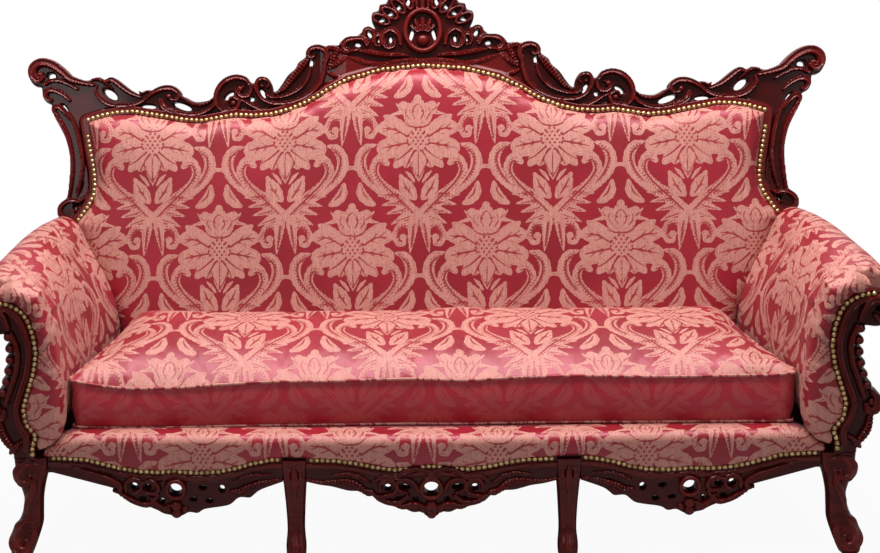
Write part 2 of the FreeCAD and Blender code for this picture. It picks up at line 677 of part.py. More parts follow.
def make_cushion():
    outer = cushion_body(0)
    hollow = cushion_body(cover_thickness)
    add("cushion_cover", outer.cut(hollow))
    add("cushion_core", cushion_body(cover_thickness + 0.3))
    heights = (("cushion_welt_top", cushion_top - welt_radius), ("cushion_welt_bottom", cushion_bottom + welt_radius))
    for name, z in heights:
        add(name, welt(z).cut(outer))
    zip_z = cushion_bottom + cushion_edge_height / 2
    zipper = box(-300, 300, cushion_rear_y + 2.2, cushion_rear_y + 4.7, zip_z - 5, zip_z + 5)
    add("cushion_zip", zipper)


# Nail trim
def make_nails():
    out_of_back = back_point(0, 0, 1) - back_point(0, 0, 0)
    lift = show_wood_front + 0.2
    top = [back_point(x, v + 6.5, lift) for x, v in both_halves(nail_line_top)]
    side = [back_point(x + 6.5, v, lift) for x, v in nail_line_side[1:]]
    side_line = line_points(side, nail_pitch)
    heads = [nail(p, out_of_back) for p in line_points(top, nail_pitch)]
    for p in side_line[1:]:
        if parts["arm_cover_right"].distToShape(nail(p, out_of_back))[0] < 0.5:
            continue
        heads.append(nail(p, out_of_back))
        heads.append(nail(Vector(-p.x, p.y, p.z), out_of_back))
    add("nails_back", *heads)
    heads = []
    front_line = [Vector(x, serpentine_y(x, -0.25), z - 6.2) for x, z in both_halves(nail_wave)]
    for p in line_points(front_line, nail_pitch):
        if abs(abs(p.x) - mid_leg_x) < mid_leg_half + nail_radius or abs(p.x) > rail_half_length - nail_radius:
            continue
        slope = serpentine_depth * math.pi / rail_half_length * math.sin(math.pi * p.x / rail_half_length)
        heads.append(nail(p, Vector(slope, -1, 0).normalize()))
    add("nails_front", *heads)
    line = [Vector(x + 6.5, arm_front_y - facing_thickness - 0.2, z) for x, z in facing_inner[:10]]
    line += [Vector(x + 2, arm_front_y - facing_thickness - 0.2, z - 7) for x, z in facing_inner[10:]]
    add_pair("nails_arm", *[nail(p, Vector(0, -1, 0)) for p in line_points(line, nail_pitch)[1:]])


def centre_depth():
    """How far the drawing moves back or forward so that the origin lies under the middle of the sofa."""
    fronts = [parts[n].optimalBoundingBox().YMin for n in ("front_leg_right", "front_mid_leg_right")]
    rear = parts["crest"].optimalBoundingBox().YMax
    return -(min(fronts) + rear) / 2


def export():
    os.makedirs("parts", exist_ok=True)
    shift = Vector(0, centre_depth(), 0)
    print("depth shift", round(shift.y, 2))
    for name, shape in sorted(parts.items()):
        shape.translate(shift)
        shape.exportStep("parts/" + name + ".step")
        if not shape.isValid():
            print("not valid:", name)
    print("nodes", len(parts))


make_back_show_wood()
make_back_frame()
back_pad = make_back_upholstery()
front_rail, rear_rail, side_rail_right = make_seat_frame()
make_legs()
hidden_back = Part.makeCompound([parts[n] for n in ("back_webbing", "side_rail_right", "side_rail_left")])
clear_pad = back_pad.cut(Part.makeCompound([parts[n] for n in ("top_rail_left", "top_rail_right",
                                                               "back_side_carving_left", "back_side_carving_right")]))
clear_pad = clear_pad.cut(hidden_back).cut(rear_rail)
add("rear_rail", rear_rail)
clear_pad = largest(clear_pad)
parts["back_foam"] = largest(parts["back_foam"].common(clear_pad))
add("back_cover", clear_pad.cut(pad_solid(cover_thickness + 1.0)))
make_arms(clear_pad, side_rail_right)
make_deck()
make_cushion()
make_nails()
export()
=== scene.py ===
import json
import math

import bpy
import numpy as np
from mathutils import Matrix, Vector


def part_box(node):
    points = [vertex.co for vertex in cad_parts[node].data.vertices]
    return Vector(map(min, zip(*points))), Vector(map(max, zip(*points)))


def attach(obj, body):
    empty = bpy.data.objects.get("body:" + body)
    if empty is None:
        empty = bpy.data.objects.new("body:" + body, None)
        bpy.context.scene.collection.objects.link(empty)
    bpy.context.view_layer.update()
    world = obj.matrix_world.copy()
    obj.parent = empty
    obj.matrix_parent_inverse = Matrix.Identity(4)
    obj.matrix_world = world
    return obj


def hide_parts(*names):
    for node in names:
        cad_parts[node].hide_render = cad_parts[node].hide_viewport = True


# Dressing of a baroque three-seat sofa: carved show wood, figured silk damask, piped cushion, brass nails.
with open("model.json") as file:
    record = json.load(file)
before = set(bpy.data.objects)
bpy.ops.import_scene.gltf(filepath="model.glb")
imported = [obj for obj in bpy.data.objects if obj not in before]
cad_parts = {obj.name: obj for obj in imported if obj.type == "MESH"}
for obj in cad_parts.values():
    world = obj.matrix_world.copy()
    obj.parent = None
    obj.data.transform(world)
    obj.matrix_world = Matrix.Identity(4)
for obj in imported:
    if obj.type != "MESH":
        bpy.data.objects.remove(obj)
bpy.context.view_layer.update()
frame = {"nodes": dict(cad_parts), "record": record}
nodes = frame["nodes"]

# Sizes shared with the solids, in millimetres
recline = math.radians(16.3)
depth_shift = 10.51
back_datum = (212.0 + depth_shift, 682.0)
show_wood_front = 8.0
show_wood_rear = -35.0
front_face = -405.0 + depth_shift
serpentine_depth = 12.0
rail_half_length = 905.0
arm_front = -372.0 + depth_shift
facing_front = arm_front - 40.0
back_bottom = -340.0
deck_top = 308.0
cushion_bottom = 308.3
cushion_edge = 428.3
cushion_front_half = 852.0
cushion_rear_half = 768.0
cushion_front = -352.0 + depth_shift
cushion_rear = 88.0 + depth_shift
repeat_wide = 345.0
repeat_high = 560.0

# Spacing of the vertices over the carved boards
board_pitch = 2.0

# Outlines of the right half, as (x, height); those of the back measure height along the reclined back
nail_line_top = [
    (0, 392), (107, 383), (195, 360), (245, 336), (300, 303), (349, 283), (396, 271), (447, 268),
    (492, 271), (544, 262), (580, 256), (631, 260), (682, 270), (758, 283), (802, 281), (840, 275),
    (880, 263)
]
nail_line_side = [
    (880, 263), (876, 238), (867, 184), (859, 140), (856, 101), (860, 72), (873, 45), (892, 18), (909, -3)
]
rail_top_edge = [
    (205, 432), (222, 457), (257, 450), (279, 455), (299, 446), (308, 428), (326, 414), (335, 398),
    (354, 381), (369, 359), (383, 341), (392, 340), (396, 357), (404, 371), (418, 377), (436, 371),
    (446, 361), (460, 371), (485, 377), (514, 369), (538, 343), (551, 323), (574, 316), (599, 315),
    (621, 326), (636, 331), (644, 346), (662, 352), (709, 347), (740, 337), (771, 347), (801, 367),
    (806, 377), (819, 382), (836, 377), (850, 383)
]
horn_edge = [
    (850, 383), (872, 377), (907, 376), (925, 384), (943, 400), (967, 421), (987, 432), (1005, 437),
    (1025, 430), (1037, 417), (1041, 399), (1036, 381), (1024, 365), (1006, 360), (1003, 345), (1000, 330),
    (991, 319), (979, 313), (977, 296), (967, 275), (952, 249), (936, 222), (927, 189), (923, 154),
    (927, 118), (936, 85), (941, 66), (957, 52), (964, 35), (959, 17), (945, 4), (925, -4), (909, -8)
]
crest_edge = [
    (205, 432), (222, 446), (214, 468), (192, 478), (176, 478), (158, 492), (140, 503), (124, 500),
    (133, 522), (131, 541), (116, 547), (111, 562), (95, 566), (86, 581), (68, 583), (56, 597), (38, 596),
    (24, 608), (0, 612)
]
crest_joint = [(0, 412), (100, 405), (160, 410), (205, 432), (222, 457), (240, 462)]
crest_field = [(0, 412), (100, 405), (160, 410), (205, 432), (240, 480)]
rail_holes = [
    (293, 411, 5, 10, 0), (421, 333, 6, 14, -25), (449, 319, 6, 6, 0), (509, 329, 15, 7, -40),
    (487, 299, 6, 6, 0), (632, 303, 25, 8, 22), (722, 304, 20, 6, 5), (822, 338, 22, 9, 38)
]
horn_holes = [(978, 388, 11, 9, 20), (944, 303, 13, 4, 52), (904, 92, 4, 17, 20), (914, 41, 7, 8, 0)]
crest_holes = [
    (37, 568, 5, 15, 20), (62, 554, 5, 14, 42), (84, 537, 5, 14, 58), (107, 521, 5, 12, 66),
    (84, 470, 4, 9, 0), (113, 468, 5, 6, 0), (139, 485, 5, 10, -20), (170, 458, 8, 6, 20),
    (29, 482, 5, 16, 12)
]
nail_wave = [
    (0, 237), (40, 231), (86, 228), (132, 234), (178, 244), (224, 250), (293, 252), (333, 254), (373, 252),
    (422, 242), (459, 230), (500, 221), (549, 218), (604, 221), (647, 219), (688, 221), (737, 229),
    (777, 240), (813, 250), (874, 254), (905, 254)
]
middle_apron_edge = [
    (0, 100), (16, 107), (22, 115), (43, 114), (62, 122), (85, 127), (104, 134), (122, 145), (134, 155),
    (150, 154), (169, 166), (196, 168), (233, 178), (261, 182), (291, 189)
]
outer_apron_edge = [
    (351, 189), (400, 170), (417, 158), (429, 149), (454, 149), (475, 132), (496, 126), (537, 119),
    (554, 109), (574, 111), (590, 103), (604, 98), (618, 103), (636, 107), (652, 116), (692, 134),
    (712, 147), (728, 160), (748, 169), (790, 181)
]
middle_apron_holes = [
    (0, 176, 17, 17, 0), (61, 179, 12, 5, 12), (102, 177, 8, 8, 0), (37, 148, 6, 5, 0), (76, 148, 7, 5, 0)
]
outer_apron_holes = [
    (604, 171, 15, 15, 0), (540, 174, 9, 5, 10), (494, 171, 7, 9, 0), (563, 144, 8, 5, 0),
    (525, 141, 9, 5, 0), (672, 175, 9, 5, 0), (703, 177, 8, 8, 0), (684, 145, 8, 5, 0), (638, 140, 6, 6, 0)
]
facing_inner = [
    (932, 252), (931, 284), (920, 310), (942, 338), (947, 377), (934, 418), (917, 467), (909, 513),
    (913, 556), (925, 596), (945, 623), (973, 638), (1002, 641)
]
facing_outer = [
    (1002, 641), (1034, 634), (1054, 612), (1056, 588), (1042, 566), (1018, 555), (984, 557), (976, 538),
    (974, 508), (982, 475), (992, 440), (1004, 407), (1015, 377), (1013, 335), (1015, 305), (1000, 284),
    (985, 262), (985, 252)
]
arm_section_front = [
    (905, 300), (874, 330), (861, 380), (862, 440), (868, 500), (874, 560), (890, 615), (930, 665),
    (985, 687), (1035, 676), (1066, 640), (1068, 596), (1040, 566), (1004, 558), (988, 530), (985, 440),
    (985, 300)
]
arm_section_rear = [
    (868, 300), (812, 330), (800, 380), (806, 440), (820, 500), (842, 560), (868, 615), (900, 672),
    (935, 694), (966, 686), (986, 655), (986, 620), (966, 590), (954, 572), (947, 530), (945, 440),
    (945, 300)
]

# Carved strokes as (x, height, half width) rows, in the order that the chisel runs
scrolls = {
    "shoulder_sweep": [(257, 423, 4), (260, 386, 6), (274, 353, 7), (303, 327, 6), (342, 310, 6),
        (386, 306, 6), (417, 316, 5), (435, 340, 6), (437, 360, 6), (427, 372, 6), (410, 370, 5),
        (403, 358, 4), (408, 350, 3)],
    "inner_sweep": [(293, 401, 3), (303, 367, 4), (328, 341, 5), (361, 326, 5), (393, 322, 4),
        (413, 331, 3)],
    "shoulder_volute": [(257, 405, 5), (251, 427, 7), (257, 445, 8), (275, 452, 8), (294, 448, 7),
        (301, 435, 6), (293, 426, 5), (284, 430, 4)],
    "far_arch": [(455, 358, 5), (467, 372, 7), (492, 377, 8), (517, 369, 8), (535, 351, 8), (544, 327, 7),
        (540, 303, 5), (527, 289, 4)],
    "far_volute_in": [(455, 359, 4), (450, 345, 5), (457, 330, 6), (473, 326, 6), (486, 337, 5),
        (481, 350, 4), (470, 352, 4)],
    "far_volute_out": [(527, 289, 4), (509, 291, 6), (491, 295, 6), (482, 310, 5), (489, 322, 5),
        (504, 324, 4), (510, 315, 4)],
    "root_scroll": [(400, 287, 3), (422, 289, 5), (447, 301, 5), (469, 314, 4), (484, 319, 3)],
    "low_run": [(542, 312, 5), (559, 296, 6), (588, 282, 6), (620, 281, 6), (653, 289, 6), (675, 303, 5),
        (686, 321, 4)],
    "mid_volute": [(729, 323, 4), (709, 340, 7), (686, 350, 8), (662, 351, 8), (644, 341, 7),
        (641, 328, 6), (653, 320, 5), (666, 326, 4), (665, 334, 3)],
    "mid_ribbon": [(691, 318, 5), (682, 300, 6), (655, 286, 6), (623, 282, 5)],
    "low_cup": [(729, 323, 4), (753, 311, 6), (788, 306, 6), (823, 310, 6), (847, 325, 5), (861, 345, 4),
        (857, 360, 3)],
    "high_cup": [(741, 329, 4), (768, 341, 7), (789, 356, 8), (804, 368, 8), (819, 376, 7), (833, 372, 5)],
    "horn_sweep": [(866, 363, 5), (901, 371, 8), (928, 381, 10), (949, 400, 11), (969, 415, 12),
        (993, 424, 12), (1013, 421, 12), (1026, 408, 12), (1026, 389, 11), (1014, 377, 9), (1002, 383, 7),
        (1001, 395, 4)],
    "horn_lower": [(909, 353, 4), (930, 365, 5), (954, 375, 6), (977, 376, 6), (995, 367, 5)],
    "knuckle_high": [(929, 323, 4), (950, 341, 6), (974, 351, 7), (990, 347, 8), (993, 335, 7),
        (985, 325, 5), (976, 324, 4)],
    "knuckle_low": [(929, 273, 3), (941, 290, 5), (956, 305, 7), (970, 304, 7), (970, 293, 6),
        (962, 283, 4)],
    "stile_outer": [(966, 284, 6), (950, 257, 7), (936, 228, 7), (927, 192, 6), (923, 154, 6),
        (926, 115, 6), (930, 82, 5), (934, 62, 4)],
    "stile_middle": [(932, 290, 4), (917, 261, 5), (906, 225, 6), (899, 190, 6), (896, 154, 5),
        (899, 122, 5), (905, 95, 4), (911, 71, 3)],
    "stile_inner": [(899, 273, 3), (888, 238, 4), (882, 199, 4), (875, 160, 4), (871, 125, 4),
        (874, 95, 4), (884, 74, 5), (904, 58, 5), (924, 54, 4)],
    "foot_volute": [(904, 56, 5), (925, 60, 6), (945, 53, 7), (957, 38, 7), (955, 20, 7), (941, 12, 7),
        (920, 14, 6), (904, 24, 5), (902, 37, 4), (912, 42, 3)],
}
crest_scrolls = {
    "near_scroll": [(58, 456, 5), (63, 480, 6), (84, 496, 7), (104, 484, 7), (107, 464, 6), (93, 448, 5),
        (76, 452, 5), (72, 466, 4)],
    "small_scroll": [(100, 450, 4), (104, 474, 5), (118, 482, 5), (129, 470, 5), (122, 455, 4),
        (110, 455, 3)],
    "loop": [(124, 468, 4), (129, 488, 5), (140, 499, 6), (152, 494, 6), (152, 474, 5), (142, 462, 4)],
    "outer_loop": [(146, 456, 5), (156, 472, 6), (176, 474, 7), (198, 470, 8), (209, 456, 7),
        (198, 444, 6), (178, 443, 5), (164, 448, 4)],
}
leaves = {
    "blade": [(299, 424, 5), (311, 409, 10), (329, 387, 11), (347, 365, 9), (365, 344, 7), (386, 331, 3)],
    "shoulder_leaf": [(245, 404, 4), (234, 420, 8), (226, 438, 8), (216, 448, 3)],
    "shoulder_leaf_low": [(246, 397, 4), (232, 404, 8), (214, 416, 7), (200, 424, 3)],
    "root_leaf": [(248, 384, 4), (236, 378, 7), (222, 374, 3)],
    "high_run": [(548, 325, 3), (566, 311, 5), (588, 306, 6), (610, 311, 6), (628, 323, 5), (643, 335, 3)],
    "mid_hook": [(709, 343, 3), (724, 344, 4), (738, 338, 5), (746, 344, 2)],
    "high_leaf": [(816, 352, 3), (833, 366, 5), (848, 377, 6), (863, 378, 5), (875, 374, 3)],
    "crest_leaf": [(196, 436, 5), (216, 442, 8), (240, 450, 9), (262, 449, 4)],
    "garland": [(-30, 409, 8), (0, 411, 8), (40, 413, 8), (80, 408, 8), (112, 403, 8), (150, 409, 8),
        (176, 418, 7), (204, 428, 4)],
    "garland_high": [(40, 426, 4), (70, 428, 7), (104, 430, 8), (138, 436, 8), (166, 440, 4)],
}
apron_scrolls = {
    "arc": [(9, 219, 5), (37, 225, 6), (65, 216, 7), (86, 203, 6), (112, 206, 6), (130, 198, 4)],
    "scroll_near": [(30, 167, 4), (42, 190, 6), (65, 199, 6), (80, 190, 5), (76, 172, 4), (58, 165, 4)],
    "scroll_far": [(120, 171, 4), (118, 190, 6), (101, 197, 6), (84, 186, 5), (85, 167, 5), (102, 158, 6),
        (125, 156, 5)],
    "lower_near": [(4, 116, 5), (23, 132, 7), (46, 136, 8), (69, 131, 7), (84, 136, 5)],
    "lower_far": [(55, 157, 5), (79, 141, 7), (106, 143, 7), (127, 153, 6), (141, 169, 4)],
    "outer_end": [(845, 226, 4), (815, 214, 6), (783, 204, 7), (757, 194, 8), (737, 181, 7), (738, 166, 6),
        (752, 166, 4)],
    "outer_far": [(723, 164, 4), (721, 186, 6), (705, 196, 7), (688, 190, 6), (687, 171, 5),
        (702, 162, 5)],
    "outer_near": [(686, 183, 4), (669, 192, 6), (651, 185, 6), (645, 170, 6), (656, 160, 5),
        (674, 163, 4)],
    "outer_low": [(740, 162, 5), (716, 147, 7), (694, 136, 7), (672, 132, 7), (656, 144, 6),
        (646, 157, 4)],
    "outer_low_near": [(664, 150, 4), (650, 134, 6), (634, 123, 7), (619, 132, 4)],
}
apron_leaves = {
    "middle_leaf": [(139, 166, 7), (157, 170, 9), (176, 186, 10), (199, 194, 9), (231, 193, 7),
        (259, 191, 6), (293, 198, 4)],
    "middle_leaf_high": [(144, 191, 4), (167, 205, 6), (194, 212, 6), (231, 210, 4)],
    "outer_leaf": [(839, 236, 3), (802, 225, 5), (766, 217, 6), (734, 205, 4)],
    "inner_leaf": [(469, 166, 7), (451, 168, 9), (432, 178, 9), (409, 186, 8), (380, 194, 6),
        (352, 198, 4)],
    "inner_leaf_high": [(464, 191, 4), (441, 202, 6), (414, 208, 6), (377, 210, 4)],
    "crown_leaf": [(640, 197, 4), (627, 207, 6), (615, 203, 7), (604, 210, 6)],
}
facing_scrolls = {
    "rim": [(1006, 622, 6), (978, 620, 7), (957, 604, 8), (943, 578, 8), (934, 543, 8), (932, 513, 8),
        (940, 467, 8), (957, 420, 8), (970, 378, 8), (964, 338, 8), (950, 312, 9), (952, 280, 9)],
    "volute_top": [(976, 575, 6), (985, 600, 8), (1003, 622, 10), (1030, 618, 11), (1042, 600, 10),
        (1036, 580, 9), (1020, 574, 7), (1008, 584, 5)],
    "side_volute": [(1010, 404, 6), (1024, 384, 10), (1020, 360, 11), (1004, 358, 9), (998, 372, 6)],
    "inner_run": [(969, 560, 5), (958, 520, 7), (962, 475, 7), (978, 430, 7), (992, 392, 6)],
}
facing_knuckles = [
    (978, 552, 10), (976, 524, 10), (977, 497, 10), (982, 470, 10), (989, 443, 10), (999, 417, 10)
]
facing_leaves = {
    "knee_leaf": [(1010, 345, 8), (1006, 318, 11), (995, 295, 11), (980, 275, 7)],
    "shoulder_leaf": [(955, 300, 5), (975, 285, 8), (990, 268, 6)],
}


# Lines, distances and tables
def smooth_step(low, high, value):
    """0 below the first limit, 1 beyond the second and an even slope between."""
    share = np.clip((value - low) / (high - low), 0, 1)
    return share * share * (3 - 2 * share)


def curve_between(a, b, c, d, t):
    """Points of a smooth curve from b to c, steered by its neighbours a and d."""
    return 0.5 * (2 * b + (c - a) * t + (2 * a - 5 * b + 4 * c - d) * t ** 2
                  + (3 * b - a - 3 * c + d) * t ** 3)


def run_of(points, steps=7):
    """Close points of a smooth line through rows of numbers."""
    rows = np.array(points, float)
    rows = np.vstack([2 * rows[0] - rows[1], rows, 2 * rows[-1] - rows[-2]])
    t = np.linspace(0, 1, steps, endpoint=False)[:, None]
    line = [curve_between(*four, t) for four in zip(rows, rows[1:], rows[2:], rows[3:])]
    return np.vstack(line + [rows[-2:-1]])


def closed_run(points, steps):
    """Close points of a smooth closed line."""
    rows = np.array(points, float)
    t = np.linspace(0, 1, steps, endpoint=False)[:, None]
    turned = [np.roll(rows, shift, axis=0) for shift in (1, 0, -1, -2)]
    return np.vstack([curve_between(*four, t) for four in zip(*turned)])


def run_along(line):
    """How far each point of a line lies from its start, measured along it."""
    return np.concatenate([[0], np.cumsum(np.hypot(*np.diff(line, axis=0).T))])


def evenly_spaced(line, count):
    """Points at equal steps along a closed line, and the length of that line."""
    run = run_along(line)
    goal = np.linspace(0, run[-1], count, endpoint=False)
    return np.interp(goal, run, line[:, 0]), np.interp(goal, run, line[:, 1]), run[-1]


def height_at(x, rows):
    """Reads a height off rows of (x, height)."""
    return np.interp(x, [row[0] for row in rows], [row[1] for row in rows])


def along_stroke(x, y, points):
    """For each place: distance outside the stroke, distance run along it, place across it, half width."""
    line = run_of(points)
    outside = np.full(x.shape, 1e9)
    run = np.zeros(x.shape)
    across = np.zeros(x.shape)
    width = np.ones(x.shape)
    start = 0.0
    for a, b in zip(line, line[1:]):
        dx, dy = b[0] - a[0], b[1] - a[1]
        length = math.hypot(dx, dy) + 1e-9
        t = np.clip(((x - a[0]) * dx + (y - a[1]) * dy) / length ** 2, 0, 1)
        ox, oy = x - a[0] - t * dx, y - a[1] - t * dy
        distance = np.hypot(ox, oy)
        radius = np.maximum(a[2] + t * (b[2] - a[2]), 0.4)
        nearer = distance - radius < outside
        outside = np.where(nearer, distance - radius, outside)
        run = np.where(nearer, start + t * length, run)
        across = np.where(nearer, np.sign(dx * oy - dy * ox) * distance / radius, across)
        width = np.where(nearer, radius, width)
        start += length
    return outside, run, across, width


def segment_distance(x, y, start, end):
    dx, dy = end[0] - start[0], end[1] - start[1]
    t = np.clip(((x - start[0]) * dx + (y - start[1]) * dy) / (dx * dx + dy * dy + 1e-12), 0, 1)
    return np.hypot(x - start[0] - t * dx, y - start[1] - t * dy)


def ring_distance(x, y, ring):
    """Signed distance to the region inside a ring: less than 0 is inside."""
    nearest = np.full(x.shape, 1e9)
    inside = np.zeros(x.shape, bool)
    for start, end in zip(ring, np.roll(ring, -1, axis=0)):
        nearest = np.minimum(nearest, segment_distance(x, y, start, end))
        (ax, ay), (bx, by) = start, end
        if ay != by:
            inside ^= ((ay > y) != (by > y)) & (x < ax + (y - ay) / (by - ay) * (bx - ax))
    return np.where(inside, -nearest, nearest)


def line_distance(x, y, points):
    """Distance to an open line of points."""
    nearest = np.full(x.shape, 1e9)
    for start, end in zip(points, points[1:]):
        nearest = np.minimum(nearest, segment_distance(x, y, start, end))
    return nearest


def oval(x, y, half_width, half_height, turn):
    """A turned ellipse of 20 points."""
    a = np.linspace(0, 2 * math.pi, 20, endpoint=False)
    px, py = half_width * np.cos(a), half_height * np.sin(a)
    c, s = math.cos(math.radians(turn)), math.sin(math.radians(turn))
    return np.stack([x + px * c - py * s, y + px * s + py * c], axis=1)


def both_halves(points):
    return [(-x, v) for x, v in reversed(points) if x > 0] + list(points)


# Meshes
def deselect():
    if bpy.context.object and bpy.context.object.mode != "OBJECT":
        bpy.ops.object.mode_set(mode="OBJECT")
    bpy.ops.object.select_all(action="DESELECT")


def take(piece):
    """Selects one piece alone and makes it the active one."""
    deselect()
    piece.select_set(True)
    bpy.context.view_layer.objects.active = piece


def places(piece):
    """Where the vertices of a piece are, one row each."""
    co = np.empty(len(piece.data.vertices) * 3)
    piece.data.vertices.foreach_get("co", co)
    return co.reshape(-1, 3)


def put(piece, co):
    piece.data.vertices.foreach_set("co", np.ascontiguousarray(co, float).ravel())
    piece.data.update()


def paint(piece, name, values):
    """Keeps a number for each vertex, for the material to read."""
    layer = piece.data.attributes.get(name) or piece.data.attributes.new(name, "FLOAT", "POINT")
    layer.data.foreach_set("value", np.asarray(values, np.float32))


def painted(piece, name):
    """Reads such numbers back."""
    values = np.empty(len(piece.data.vertices), np.float32)
    piece.data.attributes[name].data.foreach_get("value", values)
    return values.astype(float)


def cut_faces(piece, unwanted):
    """Deletes the faces that are marked."""
    take(piece)
    bpy.context.tool_settings.mesh_select_mode = (False, False, True)
    bpy.ops.object.mode_set(mode="EDIT")
    bpy.ops.mesh.select_all(action="DESELECT")
    bpy.ops.object.mode_set(mode="OBJECT")
    piece.data.polygons.foreach_set("select", unwanted)
    bpy.ops.object.mode_set(mode="EDIT")
    bpy.ops.mesh.delete(type="FACE")
    bpy.ops.object.mode_set(mode="OBJECT")


def rim_vertices(piece):
    """The vertices on the open edge of a sheet."""
    loops = np.empty(len(piece.data.loops), np.int32)
    piece.data.loops.foreach_get("edge_index", loops)
    uses = np.bincount(loops, minlength=len(piece.data.edges))
    ends = np.empty(len(piece.data.edges) * 2, np.int32)
    piece.data.edges.foreach_get("vertices", ends)
    return np.unique(ends.reshape(-1, 2)[uses == 1])


def thicken(piece):
    """Extrudes a sheet into a closed slab and says which vertices are on its front."""
    take(piece)
    bpy.ops.object.mode_set(mode="EDIT")
    bpy.ops.mesh.select_all(action="SELECT")
    bpy.ops.mesh.extrude_region_move(TRANSFORM_OT_translate={"value": (0, 0, 0.001)})
    bpy.ops.object.mode_set(mode="OBJECT")
    front = np.empty(len(piece.data.vertices), bool)
    piece.data.vertices.foreach_get("select", front)
    return front


def edit_rim(piece):
    """Opens a piece for editing with its open edge selected."""
    take(piece)
    bpy.context.tool_settings.mesh_select_mode = (True, False, False)
    bpy.ops.object.mode_set(mode="EDIT")
    bpy.ops.mesh.select_all(action="DESELECT")
    bpy.ops.mesh.select_non_manifold()


def face_outward(piece=None):
    """Turns every face of a piece outward; with none given, those of the piece that is open for editing."""
    if piece:
        take(piece)
        bpy.ops.object.mode_set(mode="EDIT")
    bpy.ops.mesh.select_all(action="SELECT")
    bpy.ops.mesh.normals_make_consistent(inside=False)
    bpy.ops.object.mode_set(mode="OBJECT")


def merge_doubles(piece, within):
    """Opens a piece for editing and merges vertices that lie on each other."""
    take(piece)
    bpy.context.tool_settings.mesh_select_mode = (True, False, False)
    bpy.ops.object.mode_set(mode="EDIT")
    bpy.ops.mesh.select_all(action="SELECT")
    bpy.ops.mesh.remove_doubles(threshold=within)


def close_behind(piece, level):
    """Carries the open edge of a sheet back to a level and closes it there with one face."""
    edit_rim(piece)
    bpy.ops.mesh.extrude_region_move(TRANSFORM_OT_translate={"value": (0, 0, -0.001)})
    bpy.ops.object.mode_set(mode="OBJECT")
    behind = np.empty(len(piece.data.vertices), bool)
    piece.data.vertices.foreach_get("select", behind)
    co = places(piece)
    co[behind, 2] = level
    put(piece, co)
    bpy.ops.object.mode_set(mode="EDIT")
    bpy.ops.mesh.edge_face_add()
    face_outward()


def close_ends(piece):
    """Merges the seam of a rolled-up sheet and closes its two ends."""
    merge_doubles(piece, 0.05)
    bpy.ops.mesh.fill_holes(sides=0)
    face_outward()


def unit_grid(name, across, upward):
    """A flat square of one unit about the middle, cut into small quads."""
    deselect()
    bpy.ops.mesh.primitive_grid_add(x_subdivisions=across, y_subdivisions=upward, size=1.0, location=(0, 0, 0))
    piece = bpy.context.object
    piece.name = name
    piece.data.name = name
    return piece


def sheet_of_quads(name, low, high, pitch):
    """A flat grid of small squares between two corners, in millimetres."""
    across = max(2, round((high[0] - low[0]) / pitch))
    upward = max(2, round((high[1] - low[1]) / pitch))
    piece = unit_grid(name, across, upward)
    co = places(piece)
    co[:, 0] = low[0] + (co[:, 0] + 0.5) * (high[0] - low[0])
    co[:, 1] = low[1] + (co[:, 1] + 0.5) * (high[1] - low[1])
    put(piece, co)
    return piece


def smooth_faces(piece, degrees=42):
    take(piece)
    bpy.ops.object.shade_smooth_by_angle(angle=math.radians(degrees))


def carved_board(name, low, high, pitch, carving, zone, rear, stand):
    """A pierced board with a carved front; carving(x, y) gives distances outside the wood and heights."""
    piece = sheet_of_quads(name, low, high, pitch)
    co = places(piece)
    outside, height = carving(co[:, 0], co[:, 1])
    co[:, 2] = height
    put(piece, co)
    paint(piece, "outside", outside)
    corners = np.empty(len(piece.data.loops), np.int32)
    piece.data.loops.foreach_get("vertex_index", corners)
    corners = corners.reshape(-1, 4)
    middle = co[corners].mean(axis=1)
    unwanted = (outside[corners].mean(axis=1) > 0) | ~zone(middle[:, 0], middle[:, 1])
    cut_faces(piece, unwanted)
    co = places(piece)
    outside = painted(piece, "outside")
    rim = rim_vertices(piece)
    rim = rim[np.abs(outside[rim]) < 1.8 * pitch]
    x, y = co[rim, 0], co[rim, 1]
    for _ in range(2):
        here = carving(x, y)[0]
        slope_x = (carving(x + 0.4, y)[0] - here) / 0.4
        slope_y = (carving(x, y + 0.4)[0] - here) / 0.4
        steep = np.maximum(slope_x ** 2 + slope_y ** 2, 0.3)
        x = x - np.clip(here * slope_x / steep, -pitch, pitch)
        y = y - np.clip(here * slope_y / steep, -pitch, pitch)
    co[rim, 0], co[rim, 1], co[rim, 2] = x, y, carving(x, y)[1]
    put(piece, co)
    front = thicken(piece)
    co = places(piece)
    raised = np.where(front, co[:, 2], -6.0)
    co[~front, 2] = rear
    # The raised mask drives the painted shade in the mahogany's hollows and its wear on high places; the rear
    # gets the hollow value.
    paint(piece, "raised", np.clip((raised + 6.0) / 20.0, 0, 1))
    piece.data.attributes.remove(piece.data.attributes["outside"])
    put(piece, np.stack(stand(co[:, 0], co[:, 1], co[:, 2]), axis=1) / 1000.0)
    smooth_faces(piece)
    return piece


def mirror_copy(piece, name):
    """The same piece on the other side of the middle of the sofa, with its own mesh."""
    other = piece.copy()
    other.data = piece.data.copy()
    other.name = name
    other.data.name = name
    bpy.context.scene.collection.objects.link(other)
    co = places(other)
    co[:, 0] *= -1
    put(other, co)
    other.data.flip_normals()
    return other


def with_left(right, *parts):
    """Makes the left one of a pair; the two replace the right and left solids of the named parts."""
    left = mirror_copy(right, right.name.replace("right", "left"))
    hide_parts(*[part + "_right" for part in parts])
    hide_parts(*[part + "_left" for part in parts])
    return [right, left]


# Where the parts of the sofa stand
def on_back(x, v, w):
    """From places on the reclined back, with height along it and distance in front of it."""
    s, c = math.sin(recline), math.cos(recline)
    return x, back_datum[0] + s * v - c * w, back_datum[1] + c * v + s * w


def serpentine(x):
    """How far forward the wavy front of the seat runs."""
    return front_face - serpentine_depth * np.cos(np.pi * x / rail_half_length)


def on_front(x, z, w):
    return x, serpentine(x) - w, z


def on_facing(x, z, w):
    return x, facing_front - w, z


